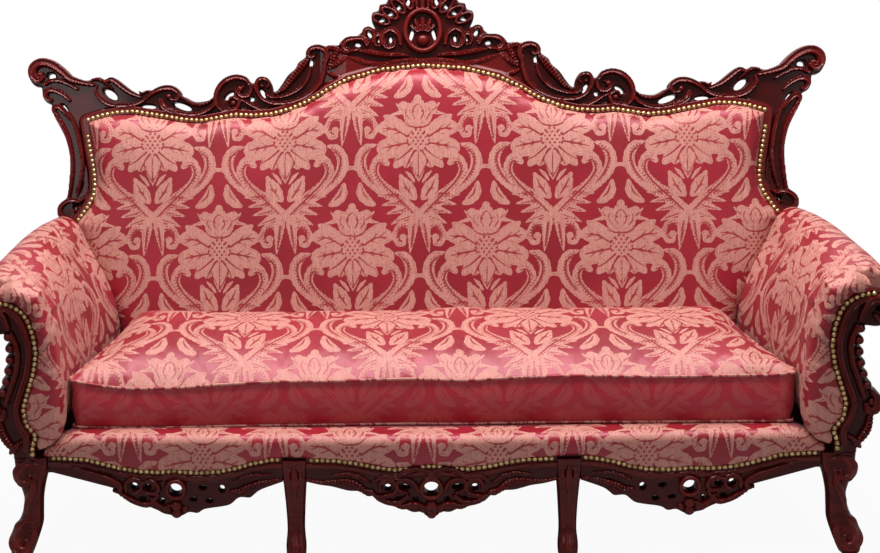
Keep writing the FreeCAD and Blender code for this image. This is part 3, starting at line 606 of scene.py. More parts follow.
# Carving
def near_to(points, x, y, reach=18.0):
    """Marks the places in a box round some points."""
    rows = np.array(points, float)
    low, high = rows[:, :2].min(axis=0) - reach, rows[:, :2].max(axis=0) + reach
    return (x > low[0]) & (x < high[0]) & (y > low[1]) & (y < high[1])


def carve(x, y, outside, height, table, level, gain=1.15, leaf=False, widen=True):
    """Raises the strokes of a table out of the wood: hollowed scrolls, or ribbed and lobed leaves."""
    for points in table.values():
        near = near_to(points, x, y)
        if not near.any():
            continue
        off, run, across, width = along_stroke(x[near], y[near], points)
        reach = np.abs(across)
        if leaf:
            lobe = 0.5 - 0.5 * np.cos(2 * np.pi * run / 8.5)
            width = width * (1 - 0.2 * lobe)
            reach = np.abs(across) / (1 - 0.2 * lobe)
            off = (reach - 1) * width
            rib = 0.5 + 0.5 * np.cos(2 * np.pi * (run / 8.5 - 0.45 * reach))
            shape = np.sqrt(np.clip(1 - reach ** 2, 0, 1)) * (0.72 + 0.28 * rib)
            shape = shape - 0.22 * np.exp(-(reach / 0.16) ** 2)
        else:
            shape = np.sqrt(np.clip(1 - reach ** 4, 0, 1)) * (0.66 + 0.34 * smooth_step(0.15, 0.7, reach))
        top = level + (2.5 + gain * width) * shape
        here = height[near]
        height[near] = np.where(reach < 1, np.maximum(here, top), here)
        if widen:
            outside[near] = np.minimum(outside[near], off)
    return outside, height


def raise_ring(x, y, outside, height, centre, radii, tube, level):
    """A round-section ring, or a rim about an opening."""
    dx, dy = x - centre[0], y - centre[1]
    angle = np.arctan2(dy / radii[1], dx / radii[0])
    off = np.abs(np.hypot(dx, dy) - np.hypot(radii[0] * np.cos(angle), radii[1] * np.sin(angle))) - tube
    top = level + 2.0 + 1.25 * tube * np.sqrt(np.clip(1 - ((off + tube) / tube) ** 2, 0, 1))
    height = np.where(off < 0, np.maximum(height, top), height)
    return np.minimum(outside, off), height


def pierce(x, y, outside, holes, reach):
    """Cuts oval openings, given by middle, half sizes and turn."""
    for hole in holes:
        near = near_to([hole[:2]], x, y, reach)
        if near.any():
            opening = ring_distance(x[near], y[near], oval(*hole))
            outside[near] = np.maximum(outside[near], -opening)


def raise_ball(x, y, height, centre, radius, level, flat):
    distance = np.hypot(x - centre[0], y - centre[1])
    top = level + flat * np.sqrt(np.clip(radius ** 2 - distance ** 2, 0, None))
    return np.where(distance < radius, np.maximum(height, top), height)


def round_edge(outside, height, radius):
    """Lets the front fall away in a quarter round at the edge of the wood."""
    inward = np.clip(-outside, 0, radius)
    return height - (radius - np.sqrt(radius ** 2 - (radius - inward) ** 2))


def smooth_points(points):
    return [tuple(place) for place in run_of(points, 4)]


# The carved show wood of the back; its ring runs a little past the middle, so that no edge lies there
nail_line_back = nail_line_top + nail_line_side[1:]
past_middle = [(-24, 608), (-38, 596), (-56, 597), (-56, 388)]
back_ring = np.array(nail_line_back + smooth_points(horn_edge[::-1]) + smooth_points(rail_top_edge[::-1])
                     + smooth_points(crest_edge)[1:] + past_middle)
volute_eyes = [
    ((480, 345), 8), ((498, 308), 8), ((667, 328), 8), ((916, 34), 7), ((262, 446), 5), ((1010, 392), 7),
    ((422, 352), 5)
]


def back_carving(x, v):
    """The whole carved frame round the back."""
    x = np.abs(x)
    outside = ring_distance(x, v, back_ring)
    pierce(x, v, outside, rail_holes + horn_holes + crest_holes, 60.0)
    from_nails = np.full(x.shape, 60.0)
    near = v < 520
    from_nails[near] = line_distance(x[near], v[near], nail_line_back)
    depth = np.interp(x, [0, 200, 270], [4.0, 4.0, 13.0])
    field = show_wood_front - depth * smooth_step(13, 26, from_nails)
    on_crest = v > height_at(x, crest_field)
    height = np.where(on_crest, -4.0, field)
    outside, height = carve(x, v, outside, height, leaves, 0.0, 1.05, leaf=True)
    outside, height = carve(x, v, outside, height, scrolls, 0.5, 1.2)
    outside, height = carve(x, v, outside, height, crest_scrolls, 0.0, 1.2)
    for centre_x, centre_v, _, _, turn in crest_holes[:4]:
        fan_turn = math.radians(turn)
        dx, dv = x - centre_x, v - centre_v
        local_x = dx * math.cos(fan_turn) - dv * math.sin(fan_turn)
        local_v = dx * math.sin(fan_turn) + dv * math.cos(fan_turn)
        outside, height = raise_ring(local_x, local_v, outside, height, (0, 1), (10.5, 23.0), 4.6, 0.0)
    flutes = {"flute_middle": [(0, 552, 6), (0, 580, 8), (0, 604, 8)],
              "flute_side": [(14, 552, 4), (17, 580, 6), (20, 600, 7)]}
    outside, height = carve(x, v, outside, height, flutes, -1.0, 1.1)
    outside, height = raise_ring(x, v, outside, height, (0, 491), (45.5, 53.5), 6.8, 3.0)
    shell = {"shell_middle": [(0, 492, 5), (0, 508, 7), (0, 521, 6)],
             "shell_side": [(7, 492, 4), (14, 506, 6), (19, 516, 5)],
             "shell_low": [(12, 489, 4), (23, 498, 5), (31, 505, 4)]}
    outside, height = carve(x, v, outside, height, shell, 0.0, 1.2)
    height = raise_ball(x, v, height, (0, 466), 17.0, -6.0, 0.9)
    for centre, radius in volute_eyes:
        height = raise_ball(x, v, height, centre, radius, 2.0, 1.1)
    bead = np.clip(1 - ((from_nails - 17.5) / 4.2) ** 2, 0, 1)
    beaded = (x > 320) & (bead > 0) & ~on_crest
    height = np.where(beaded, np.maximum(height, 3.5 + 5.0 * np.sqrt(bead)), height)
    rounded = round_edge(outside, height, 4.0)
    seat = (from_nails < 13) & ~on_crest
    return outside, np.where(seat, show_wood_front, rounded)


def crest_zone(x, v):
    """The part of the back's show wood that belongs to the crest board."""
    return v > height_at(np.abs(x), crest_joint)


def horn_zone(x, v):
    """The part that belongs to the side carving."""
    return x > 840 + (v - 275) * 10 / 108


def make_back_show_wood():
    crest = carved_board("crest_carving", (-226, 396), (226, 622), board_pitch, back_carving, crest_zone,
                         show_wood_rear, on_back)
    rail = carved_board("top_rail_carving_right", (0, 244), (858, 470), board_pitch, back_carving,
                        lambda x, v: ~crest_zone(x, v) & ~horn_zone(x, v), show_wood_rear, on_back)
    horn = carved_board("side_carving_right", (832, -18), (1056, 446), board_pitch, back_carving, horn_zone,
                        show_wood_rear, on_back)
    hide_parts("crest")
    return [crest] + with_left(rail, "top_rail") + with_left(horn, "back_side_carving")


# The carved aprons under the front rail
def apron_carving(x, z):
    """The three aprons, up to the nail line."""
    x = np.abs(x)
    wave = height_at(x, nail_wave)
    line = np.vstack([run_of(middle_apron_edge[1:], 4), run_of(outer_apron_edge, 4), [(905, 213)]])
    edge = np.interp(x, line[:, 0], line[:, 1])
    edge = np.where(x < line[0][0], 100 + 7 * smooth_step(4, 16, x), edge)
    slope = np.gradient(line[:, 1], line[:, 0] + np.arange(len(line)) * 1e-6)
    steep = np.interp(x, line[:, 0], np.abs(slope))
    outside = (edge - z) / np.sqrt(1 + np.clip(steep, 0, 1.5) ** 2)
    outside = np.maximum(outside, z - wave)
    pierce(x, z, outside, middle_apron_holes + outer_apron_holes, 40.0)
    below = wave - z
    step_up, step_down = 3.0 * smooth_step(13, 18, below), 5.5 * smooth_step(24, 32, below)
    height = np.where(below < 13, 0.18, 0.18 + step_up - step_down)
    bead = np.clip(1 - ((below - 17) / 3.4) ** 2, 0, 1)
    height = np.where(bead > 0, np.maximum(height, 2.0 + 3.6 * np.sqrt(bead)), height)
    outside, height = carve(x, z, outside, height, apron_leaves, 0.0, 0.9, leaf=True)
    outside, height = carve(x, z, outside, height, apron_scrolls, 0.0, 1.05)
    for centre, radius in (((0, 176), 23.0), ((604, 171), 21.0)):
        outside, height = raise_ring(x, z, outside, height, centre, (radius, radius), 6.0, 1.0)
    for centre, radius in (((0, 134), 14), ((0, 112), 13), ((20, 122), 9), ((604, 130), 14), ((604, 110), 13),
                           ((584, 120), 9), ((624, 120), 9), ((0, 208), 11), ((14, 204), 8)):
        height = raise_ball(x, z, height, centre, radius, -1.0, 0.9)
    rounded = round_edge(np.where(below < 20, -20.0, outside), height, 3.5)
    return outside, rounded


def make_aprons():
    middle = carved_board("apron_carving_middle", (-295, 92), (295, 258), board_pitch, apron_carving,
                          lambda x, z: np.abs(x) < 293, -30.0, on_front)
    outer = carved_board("apron_carving_right", (347, 92), (905, 258), board_pitch, apron_carving,
                         lambda x, z: x > 348, -30.0, on_front)
    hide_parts("apron_middle")
    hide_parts("apron_right")
    left = mirror_copy(outer, "apron_carving_left")
    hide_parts("apron_left")
    return [middle, outer, left]


# The carved faces of the arms
facing_ring = np.array(facing_inner + smooth_points(facing_outer)[1:])


def facing_carving(x, z):
    """The face of an arm, pierced in the middle of its scroll."""
    outside = ring_distance(x, z, facing_ring)
    pierce(x, z, outside, [(1018, 598, 6, 6, 0)], 400.0)
    from_nails = line_distance(x, z, facing_inner)
    height = -2.0 - 5.0 * smooth_step(13, 24, from_nails)
    outside, height = carve(x, z, outside, height, facing_leaves, -2.0, 0.9, leaf=True)
    outside, height = carve(x, z, outside, height, facing_scrolls, -2.0, 1.0)
    for kx, kz, radius in facing_knuckles:
        distance = np.hypot((x - kx) / 1.15, z - kz)
        outside = np.minimum(outside, distance - radius)
        height = raise_ball(x, z, height, (kx, kz), radius * 1.1, -4.0, 1.0)
    height = raise_ball(x, z, height, (1012, 378), 10, -2.0, 1.0)
    rounded = round_edge(outside, height, 4.0)
    return outside, np.where(from_nails < 13, 0.0, rounded)


def make_facings():
    right = carved_board("arm_facing_carving_right", (900, 250), (1064, 652), board_pitch,
                         facing_carving, lambda x, z: z > 251, -40.0, on_facing)
    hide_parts("arm_facing_right")
    left = mirror_copy(right, "arm_facing_carving_left")
    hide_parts("arm_facing_left")
    return [right, left]


# The figure of the damask, in drawing units of about half a millimetre, y down, mirrored about x = 0
damask_discs = [
    (0, -110, 70), (45, -150, 40), (0, -175, 38), (75, -175, 25), (0, -215, 20), (0, -60, 60),
    (85, 520, 18), (0, 0, 62)
]
damask_petals = [(-35, 215), (-15, 225), (8, 212), (28, 201), (50, 196), (65, 165)]
damask_strokes = [
    [(85, -150, 11), (115, -190, 4)],
    [(90, -140, 13), (140, -130, 4)],
    [(50, 0, 30), (110, -40, 46), (170, -60, 38), (215, -50, 10)],
    [(50, 20, 30), (120, 30, 44), (180, 50, 38), (215, 50, 8)],
    [(0, 60, 25), (0, 110, 42), (0, 170, 30), (0, 225, 4)],
    [(20, 230, 5), (45, 195, 10), (70, 170, 3)],
    [(20, 315, 15), (60, 265, 40), (95, 195, 10)],
    [(165, 130, 18), (205, 100, 22), (235, 160, 26), (215, 220, 28), (155, 280, 32), (85, 340, 36),
     (15, 400, 32)],
    [(120, 290, 24), (215, 300, 4)],
    [(100, 330, 26), (195, 350, 4)],
    [(85, 370, 26), (170, 395, 4)],
    [(60, 400, 26), (145, 450, 4)],
    [(30, 440, 30), (40, 520, 21), (50, 600, 4)],
    [(45, 455, 20), (95, 455, 18), (125, 500, 17), (115, 550, 15), (85, 555, 12), (75, 525, 7)],
    [(225, 30, 6), (275, 50, 25), (305, 110, 32), (290, 180, 30), (235, 250, 22), (165, 310, 12)],
    [(310, 150, 20), (352, 150, 10)],
    [(310, 235, 10), (300, 290, 29), (265, 330, 25), (235, 345, 10)],
]
damask_wedges = [[(0, 292), (15, 330), (0, 366)], [(0, 470), (15, 530), (30, 610), (0, 640)]]
damask_veins = [
    [(20, 70, 4), (45, 120, 4), (0, 215, 3)],
    [(0, 70, 3), (0, 200, 3)],
    [(56, -10, 5), (120, -48, 5), (190, -56, 3)],
    [(96, -34, 3), (132, -74, 3)],
    [(96, -34, 3), (140, -22, 3)],
    [(140, -54, 3), (176, -82, 3)],
    [(140, -54, 3), (184, -38, 3)],
    [(56, 22, 5), (130, 36, 5), (195, 50, 3)],
    [(90, 28, 3), (128, 8, 3)],
    [(90, 28, 3), (118, 56, 3)],
    [(134, 36, 3), (172, 20, 3)],
    [(134, 36, 3), (164, 66, 3)],
    [(40, 58, 5), (92, 100, 4), (140, 122, 3)],
    [(22, 64, 4), (56, 128, 4), (74, 176, 3)],
    [(0, -60, 4), (34, -64, 5), (62, -80, 4), (76, -108, 3)],
    [(14, -104, 4), (30, -136, 4), (18, -170, 4), (0, -186, 3)],
    [(44, -102, 4), (64, -136, 4), (58, -168, 3)],
    [(0, -128, 3), (0, -160, 3)],
    [(78, -150, 4), (108, -172, 3)],
    [(34, 305, 4), (64, 262, 5), (86, 215, 3)],
    [(52, 280, 3), (44, 246, 3)],
    [(60, 268, 3), (84, 262, 3)],
    [(175, 130, 3), (208, 126, 5), (224, 170, 5), (196, 226, 5), (140, 284, 5), (76, 344, 5),
     (24, 396, 4)],
    [(240, 44, 3), (284, 80, 5), (292, 130, 5), (270, 190, 5), (220, 250, 3)],
    [(104, 290, 4), (190, 300, 3)],
    [(92, 332, 4), (170, 348, 3)],
    [(78, 374, 4), (150, 392, 3)],
    [(52, 412, 4), (124, 438, 3)],
    [(30, 452, 4), (38, 520, 5), (46, 580, 3)],
    [(60, 462, 4), (96, 470, 5), (112, 506, 5), (102, 540, 3)],
    [(300, 250, 3), (288, 292, 5), (258, 322, 3)],
]
damask_dots = [
    (0, -28, 7), (26, -26, 7), (13, -8, 7), (38, -6, 6), (0, 12, 7), (26, 12, 7), (13, 30, 7), (0, 46, 6),
    (36, 30, 5), (50, -22, 5), (22, -84, 5), (44, -88, 4), (10, -72, 4), (20, -146, 5), (44, -150, 5)
]
dotted_lines = [
    [(182, 108), (214, 108), (240, 160), (212, 232), (150, 296), (88, 352), (36, 398)],
    [(194, 142), (210, 166), (184, 216), (130, 270), (74, 326)],
    [(246, 34), (292, 66), (306, 124), (286, 188), (240, 244)],
    [(262, 66), (276, 108), (262, 166), (226, 222)],
    [(22, 446), (28, 510), (40, 570)],
    [(68, 446), (104, 458), (128, 500), (112, 548)],
    [(100, 300), (180, 312)],
    [(86, 342), (162, 360)],
    [(66, 384), (140, 404)],
    [(0, 84), (0, 200)],
]
motif_half_wide = 352.0
motif_high = 1143.0
figure_step = 3.0


def figure_of_motif(x, y, centre_x, centre_y):
    """Distances outside the figure and outside its dark veins, for one motif."""
    u = np.abs(x - centre_x)
    v = y - centre_y
    figure = np.full(x.shape, 60.0)
    vein = np.full(x.shape, 60.0)
    near = (v > -300) & (v < 700) & (u < 420)
    if not near.any():
        return figure, vein
    un, vn = u[near], v[near]
    best = np.full(un.shape, 60.0)
    for cx, cy, radius in damask_discs:
        dx, dy = un - cx, vn - cy
        lobes = radius * (1 + 0.06 * np.cos(9 * np.arctan2(dy, dx)))
        best = np.minimum(best, np.hypot(dx, dy) - lobes)
    for angle, reach in damask_petals:
        a = math.radians(angle)
        tip = [(far * math.cos(a), far * math.sin(a), wide)
               for far, wide in ((40, 24), (reach * 0.6, 33), (reach * 0.86, 24), (reach, 6))]
        best = np.minimum(best, serrated(un, vn, tip, 3.5, 26.0))
    for points in damask_strokes:
        best = np.minimum(best, serrated(un, vn, points, 4.0, 30.0))
    for wedge in damask_wedges:
        ring = np.array(wedge + [(-px, py) for px, py in wedge[::-1] if px > 0], float)
        best = np.maximum(best, -ring_distance(un, vn, ring))
    figure[near] = best
    veins = np.full(un.shape, 60.0)
    for points in damask_veins:
        veins = np.minimum(veins, along_stroke(un, vn, points)[0])
    for k in range(14):
        a = 2 * math.pi * k / 14
        veins = np.minimum(veins, np.hypot(un - 56 * math.cos(a), vn - 8 - 56 * math.sin(a)) - 7.0)
    for x0, y0, radius in damask_dots:
        veins = np.minimum(veins, np.hypot(un - x0, vn - y0) - radius)
    for points in dotted_lines:
        rows = np.array(points, float)
        run = run_along(rows)
        for goal in np.arange(6, run[-1], 17.0):
            dot = np.interp(goal, run, rows[:, 0]), np.interp(goal, run, rows[:, 1])
            veins = np.minimum(veins, np.hypot(un - dot[0], vn - dot[1]) - 5.0)
    vein[near] = veins
    return figure, vein


def serrated(x, y, points, depth, pitch):
    """Distance outside a leaf stroke with a saw-toothed edge."""
    near = near_to(points, x, y, 60.0)
    outside = np.full(x.shape, 60.0)
    if near.any():
        off, run, _, width = along_stroke(x[near], y[near], points)
        tooth = np.abs((run / pitch) % 1.0 - 0.5) * 2
        outside[near] = off + depth * tooth * np.clip(width / 20.0, 0.2, 1.0)
    return outside


def weave_the_figure():
    """The two fields of one half repeat, on a grid, in millimetres outside the figure and the veins."""
    across = np.arange(0, motif_half_wide + figure_step, figure_step)
    down = np.arange(0, motif_high, figure_step)
    x, y = [a.ravel() for a in np.meshgrid(across, down)]
    figure = np.full(x.shape, 60.0)
    vein = np.full(x.shape, 60.0)
    centres = [(0, 0), (0, motif_high), (0, -motif_high), (motif_half_wide, motif_high / 2),
               (motif_half_wide, -motif_high / 2), (motif_half_wide, motif_high * 1.5)]
    for centre_x, centre_y in centres:
        one, dark = figure_of_motif(x, y, centre_x, centre_y)
        vein = np.where(one < figure, dark, vein)
        figure = np.minimum(figure, one)
    scale = repeat_wide / (2 * motif_half_wide)
    shape = (len(down), len(across))
    return figure.reshape(shape) * scale, vein.reshape(shape) * scale


figure_field, vein_field = weave_the_figure()


def damask_at(across, upward):
    """The two fields at places on the cloth, in millimetres from a flower's middle."""
    unit = repeat_wide / (2 * motif_half_wide)
    u = np.abs((across / unit + motif_half_wide) % (2 * motif_half_wide) - motif_half_wide)
    tall = repeat_high / unit / motif_high
    v = (-upward / unit / tall) % motif_high
    gx = np.clip(u / figure_step, 0, figure_field.shape[1] - 1.001)
    gy = v / figure_step
    ix, iy = gx.astype(int), np.minimum(gy.astype(int), figure_field.shape[0] - 1)
    fx, fy = gx - ix, gy - iy
    below = (iy + 1) % figure_field.shape[0]
    fields = []
    for field in (figure_field, vein_field):
        high = field[iy, ix] * (1 - fx) + field[iy, ix + 1] * fx
        low = field[below, ix] * (1 - fx) + field[below, ix + 1] * fx
        fields.append(high * (1 - fy) + low * fy)
    return fields


def weave_onto(piece, across, upward):
    """Keeps the figure's two fields on the vertices of a piece."""
    figure, vein = damask_at(across, upward)
    paint(piece, "figure", np.clip(figure, -8, 8))
    paint(piece, "vein", np.clip(vein, -8, 8))


# Forms of padding
def swell(edge, height, reach):
    """A rounded rise from an edge up to a height, most of it within the reach."""
    return height * (1 - np.exp(-edge / reach))


def rounded_over(inward, radius):
    """How far a surface falls away over a quarter round at its edge."""
    left = radius - np.clip(inward, 0, radius)
    return radius - np.sqrt(np.clip(radius ** 2 - left ** 2, 0, None))


# Upholstery of the back
def back_side(v):
    """Half the width of the back pad at a height."""
    beside_nails = [(high, wide) for wide, high in nail_line_side[::-1]]
    return height_at(v, [(back_bottom, 778), (-262, 800), (-150, 852)] + beside_nails + [(600, 880)])


def make_back_pad():
    """The padded back: a rolled edge inside the nails and a full, slightly uneven middle."""
    half_wide, top = 880.0, 392.0
    piece = sheet_of_quads("back_pad", (-half_wide, back_bottom), (half_wide, top), 3.8)
    co = places(piece)
    s = co[:, 0] / half_wide
    t = (co[:, 1] - back_bottom) / (top - back_bottom)
    guess = back_bottom + t * (height_at(np.abs(s) * half_wide, nail_line_top) - back_bottom)
    x = s * (back_side(guess) + 1.0)
    v = back_bottom + t * (height_at(np.abs(x), nail_line_top) + 1.5 - back_bottom)
    rim = both_halves(nail_line_back + [(852, -150), (800, -262), (778, back_bottom)])
    edge = line_distance(x, v, rim)
    puff = swell(edge, 25, 14) + swell(edge, 17, 85)
    pull = np.exp(-edge / 24)
    along_rim = np.arctan2(v - 60, x) * 520
    puff += pull * (1.2 * np.sin(along_rim / 9.5) + 0.8 * np.sin(along_rim / 23.0 + 1.0))
    settle = 1.8 * np.sin(x / 190 + 0.6) * np.sin(v / 140) + 1.1 * np.sin(x / 83 + v / 61)
    w = 4.0 + puff + settle * smooth_step(20, 120, edge)
    put(piece, np.stack([x, v, w], axis=1))
    close_behind(piece, -29.0)
    co = places(piece)
    weave_onto(piece, co[:, 0] + 16.0, co[:, 1] - 203.6)
    put(piece, np.stack(on_back(co[:, 0], co[:, 1], co[:, 2]), axis=1) / 1000.0)
    smooth_faces(piece, 60)
    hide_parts("back_cover", "back_foam")
    return piece


# Upholstery of the arms
def section_ring(points, count):
    """Evenly spaced points round a closed smooth section, from the foot of its inner side, and its length."""
    line = closed_run(points, 8)
    x, z, length = evenly_spaced(np.vstack([line, line[:1]]), count)
    return np.stack([x, z], axis=1), length


def make_arm():
    """The padded roll of the right arm, from behind its carved face to the back of the frame."""
    around, lengthwise = 260, 130
    low_y, high_y = arm_front + 4.0, 262.0 + depth_shift
    front_ring, front_run = section_ring(arm_section_front, around)
    rear_ring, rear_run = section_ring(arm_section_rear, around)
    piece = unit_grid("arm_pad_right", around, lengthwise)
    co = places(piece)
    place_round = np.rint((co[:, 0] + 0.5) * around).astype(int) % around
    share = (co[:, 1] + 0.5) ** 1.3
    bulge = 4 * share * (1 - share)
    x = front_ring[place_round, 0] * (1 - share) + rear_ring[place_round, 0] * share + 4 * bulge
    z = front_ring[place_round, 1] * (1 - share) + rear_ring[place_round, 1] * share
    z = z + 20 * bulge * smooth_step(560, 690, z)
    y = low_y + share * (high_y - low_y)
    run = place_round / around * (front_run * (1 - share) + rear_run * share)
    inner = smooth_step(930, 880, x) * np.sin(np.clip((z - 300) / 330, 0, 1) * math.pi)
    x = x - inner * (3.0 + 17.0 * smooth_step(0.15, 0.8, share))
    centre_x = 960.0 * (1 - share) + 920.0 * share
    from_front = y - low_y
    inward = rounded_over(from_front, 26)
    toward = np.stack([centre_x - x, 600 - z], axis=1)
    toward /= np.maximum(np.hypot(*toward.T), 1e-6)[:, None]
    on_roll = smooth_step(430, 600, z)
    fold = np.sin(run / 4.3 + 1.3 * np.sin(run / 31.0)) + 0.8 * np.sin(run / 7.9 + 0.02 * from_front)
    pleats = np.exp(-from_front / (26 + 36 * on_roll)) * 2.6 * fold * (0.25 + 0.75 * on_roll)
    slack = 1.6 * np.sin(run / 46.0 + from_front / 70.0) * smooth_step(60, 160, from_front)
    shrink = inward * 0.55 + pleats * 0.8 + slack
    x = x + toward[:, 0] * shrink
    z = z + toward[:, 1] * shrink
    put(piece, np.stack([x, y, z], axis=1))
    weave_onto(piece, y + 150.0, run - 330.0)
    close_ends(piece)
    cut_behind_back(piece)
    put(piece, places(piece) / 1000.0)
    return piece


def cut_behind_back(piece):
    """Trims a piece at the plane behind the show wood and closes the cut."""
    take(piece)
    bpy.ops.object.mode_set(mode="EDIT")
    bpy.ops.mesh.select_all(action="SELECT")
    on_plane = on_back(0.0, 0.0, show_wood_rear - 0.6)
    rearward = (0.0, math.cos(recline), -math.sin(recline))
    bpy.ops.mesh.bisect(plane_co=on_plane, plane_no=rearward, use_fill=True, clear_outer=True)
    bpy.ops.object.mode_set(mode="OBJECT")


def make_arm_front():
    """The gathered cloth that comes round to the nails on the carved face."""
    inner = smooth_points(facing_inner)
    free_edge = [(990, 668), (960, 680), (928, 664), (900, 655), (884, 600), (872, 560), (866, 500),
                 (861, 440), (858, 380), (861, 335), (872, 304), (893, 282), (925, 268)]
    ring = np.array(inner[6:] + free_edge)

    def front(x, z):
        outside = ring_distance(x, z, ring)
        from_nails = line_distance(x, z, inner)
        run = z + 0.45 * x
        fold = np.sin(run / 3.9 + 1.2 * np.sin(run / 27.0)) + 0.7 * np.sin(run / 7.1)
        gather = np.exp(-from_nails / 26) * 2.2 * fold * smooth_step(330, 470, z)
        free = line_distance(x, z, free_edge)
        return outside, -2.0 + swell(from_nails, 13, 13) - rounded_over(free, 30) + gather

    piece = carved_board("arm_front_right", (850, 250), (1012, 690), 3.2, front, lambda x, z: z > 262, -50.0,
                         on_facing)
    co = places(piece) * 1000.0
    weave_onto(piece, co[:, 1] - co[:, 0] + 1011.0, co[:, 2] - 320.0)
    return piece


def make_arms():
    piece = join([make_arm(), make_arm_front()], "arm_pad_right")
    smooth_faces(piece, 60)
    pads = with_left(piece, "arm_cover", "arm_foam")
    return pads


def join(pieces, name):
    """Makes one piece of several."""
    deselect()
    for piece in pieces:
        piece.select_set(True)
    bpy.context.view_layer.objects.active = pieces[0]
    bpy.ops.object.join()
    pieces[0].name = name
    return pieces[0]


# The loose cushion
cushion_depth = cushion_rear - cushion_front
cushion_middle = (cushion_front + cushion_rear) / 2
boxing_rows = 5
front_seam = [
    (-870, 2), (-852, 1), (-799, -10), (-757, -17), (-700, -21), (-600, -20), (-480, -14), (-360, -8),
    (-37, -5), (88, -9), (155, -4), (340, -1), (670, -4), (800, -2), (840, 4), (870, 6)
]


def edge_wave(x, y):
    """How far the cushion's upper seam lies above its mean height: it sags along the front."""
    at_front = smooth_step(cushion_front + 120, cushion_front + 5, y)
    sag = height_at(x, front_seam)
    return 2.0 * np.sin(x / 150.0 + 0.8) * (1 - at_front) + 1.0 * np.sin(x / 61.0 + y / 90.0) + sag * at_front


def cushion_half(y):
    """Half the width of the cushion at a depth."""
    return np.interp(y, [cushion_front, cushion_rear], [cushion_front_half, cushion_rear_half])


def drawn_in(x, y):
    """Pulls the sides of the cushion in between its corners."""
    share = np.clip((y - cushion_front) / cushion_depth, 0, 1)
    across = np.clip(x / cushion_front_half, -1, 1)
    x = x - 5.0 * np.sign(x) * np.abs(across) ** 3 * 4 * share * (1 - share)
    y = y + 6.0 * (1 - across ** 4) * (1 - share)
    return x, y


def cushion_outline(grow, count):
    """Evenly spaced points round the cushion's plan, from the middle of its front edge."""
    radius = 10.0 + grow
    front, rear = cushion_front - grow, cushion_rear + grow
    front_half, rear_half = cushion_front_half + grow, cushion_rear_half + grow
    corners = [(-front_half, front), (front_half, front), (rear_half, rear), (-rear_half, rear)]
    line = []
    for i, corner in enumerate(corners):
        here = np.array(corner)
        before = np.array(corners[i - 1]) - here
        after = np.array(corners[(i + 1) % 4]) - here
        before /= np.hypot(*before)
        after /= np.hypot(*after)
        half = math.acos(float(before @ after)) / 2
        reach = radius / math.tan(half)
        middle = here + (before + after) / np.hypot(*(before + after)) * radius / math.sin(half)
        start, stop = here + before * reach - middle, here + after * reach - middle
        first = math.atan2(start[1], start[0])
        turn = (math.atan2(stop[1], stop[0]) - first + math.pi) % (2 * math.pi) - math.pi
        for k in range(9):
            a = first + turn * k / 8
            line.append(middle + radius * np.array([math.cos(a), math.sin(a)]))
    x, y, _ = evenly_spaced(np.array(line + line[:1]), count)
    return np.stack(drawn_in(x, y), axis=1)


def blown_up(piece, held, most):
    """Lets the cloth settle over its filling: a short simulation with the seams held and the way limited."""
    frames = 20
    start = places(piece)
    pins = piece.vertex_groups.new(name="held_seams")
    pins.add([int(i) for i in np.nonzero(held)[0]], 1.0, "REPLACE")
    cloth = piece.modifiers.new("cover_cloth", "CLOTH")
    cloth.settings.quality = 4
    cloth.settings.mass = 0.25
    cloth.settings.tension_stiffness = 12.0
    cloth.settings.compression_stiffness = 12.0
    cloth.settings.shear_stiffness = 4.0
    cloth.settings.bending_stiffness = 0.4
    cloth.settings.use_pressure = True
    cloth.settings.uniform_pressure_force = 4.0
    cloth.settings.shrink_min = -0.012
    cloth.settings.vertex_group_mass = pins.name
    cloth.settings.effector_weights.gravity = 0.0
    cloth.collision_settings.use_collision = False
    cloth.point_cache.frame_start = 1
    cloth.point_cache.frame_end = frames
    for step in range(1, frames + 1):
        bpy.context.scene.frame_set(step)
    settled = piece.evaluated_get(bpy.context.evaluated_depsgraph_get()).to_mesh()
    co = np.empty(len(settled.vertices) * 3)
    settled.vertices.foreach_get("co", co)
    move = co.reshape(-1, 3) - start
    size = np.maximum(np.hypot(np.hypot(move[:, 0], move[:, 1]), move[:, 2]), 1e-9)
    piece.modifiers.remove(cloth)
    bpy.context.scene.frame_set(1)
    piece.vertex_groups.remove(pins)
    put(piece, start + move * (most * np.tanh(size / most) / size)[:, None])


def cushion_blank():
    """A flat sheet with the plan of the cushion, and rows of quads for the boxing that hang from its edge."""
    piece = unit_grid("seat_cushion_pad", 140, 38)
    co = places(piece)
    y = cushion_front + (co[:, 1] + 0.5) * cushion_depth
    x = co[:, 0] * 2 * cushion_half(y)
    x, y = drawn_in(x, y)
    ring = cushion_outline(-0.5, 400)
    corner = np.clip(ring_distance(x, y, ring[::2]) + 0.5, 0, None)
    x = x - np.sign(x) * corner * 0.7
    y = y - np.sign(y - cushion_middle) * corner * 0.7
    edge = line_distance(x, y, [tuple(p) for p in ring[::4]] + [tuple(ring[0])])
    edge[rim_vertices(piece)] = 0.0
    put(piece, np.stack([x, y, np.zeros(len(x))], axis=1))
    paint(piece, "edge", edge)
    edit_rim(piece)
    for _ in range(boxing_rows):
        bpy.ops.mesh.extrude_region_move(TRANSFORM_OT_translate={"value": (0, 0, -1.0)})
    bpy.ops.object.mode_set(mode="OBJECT")
    return piece


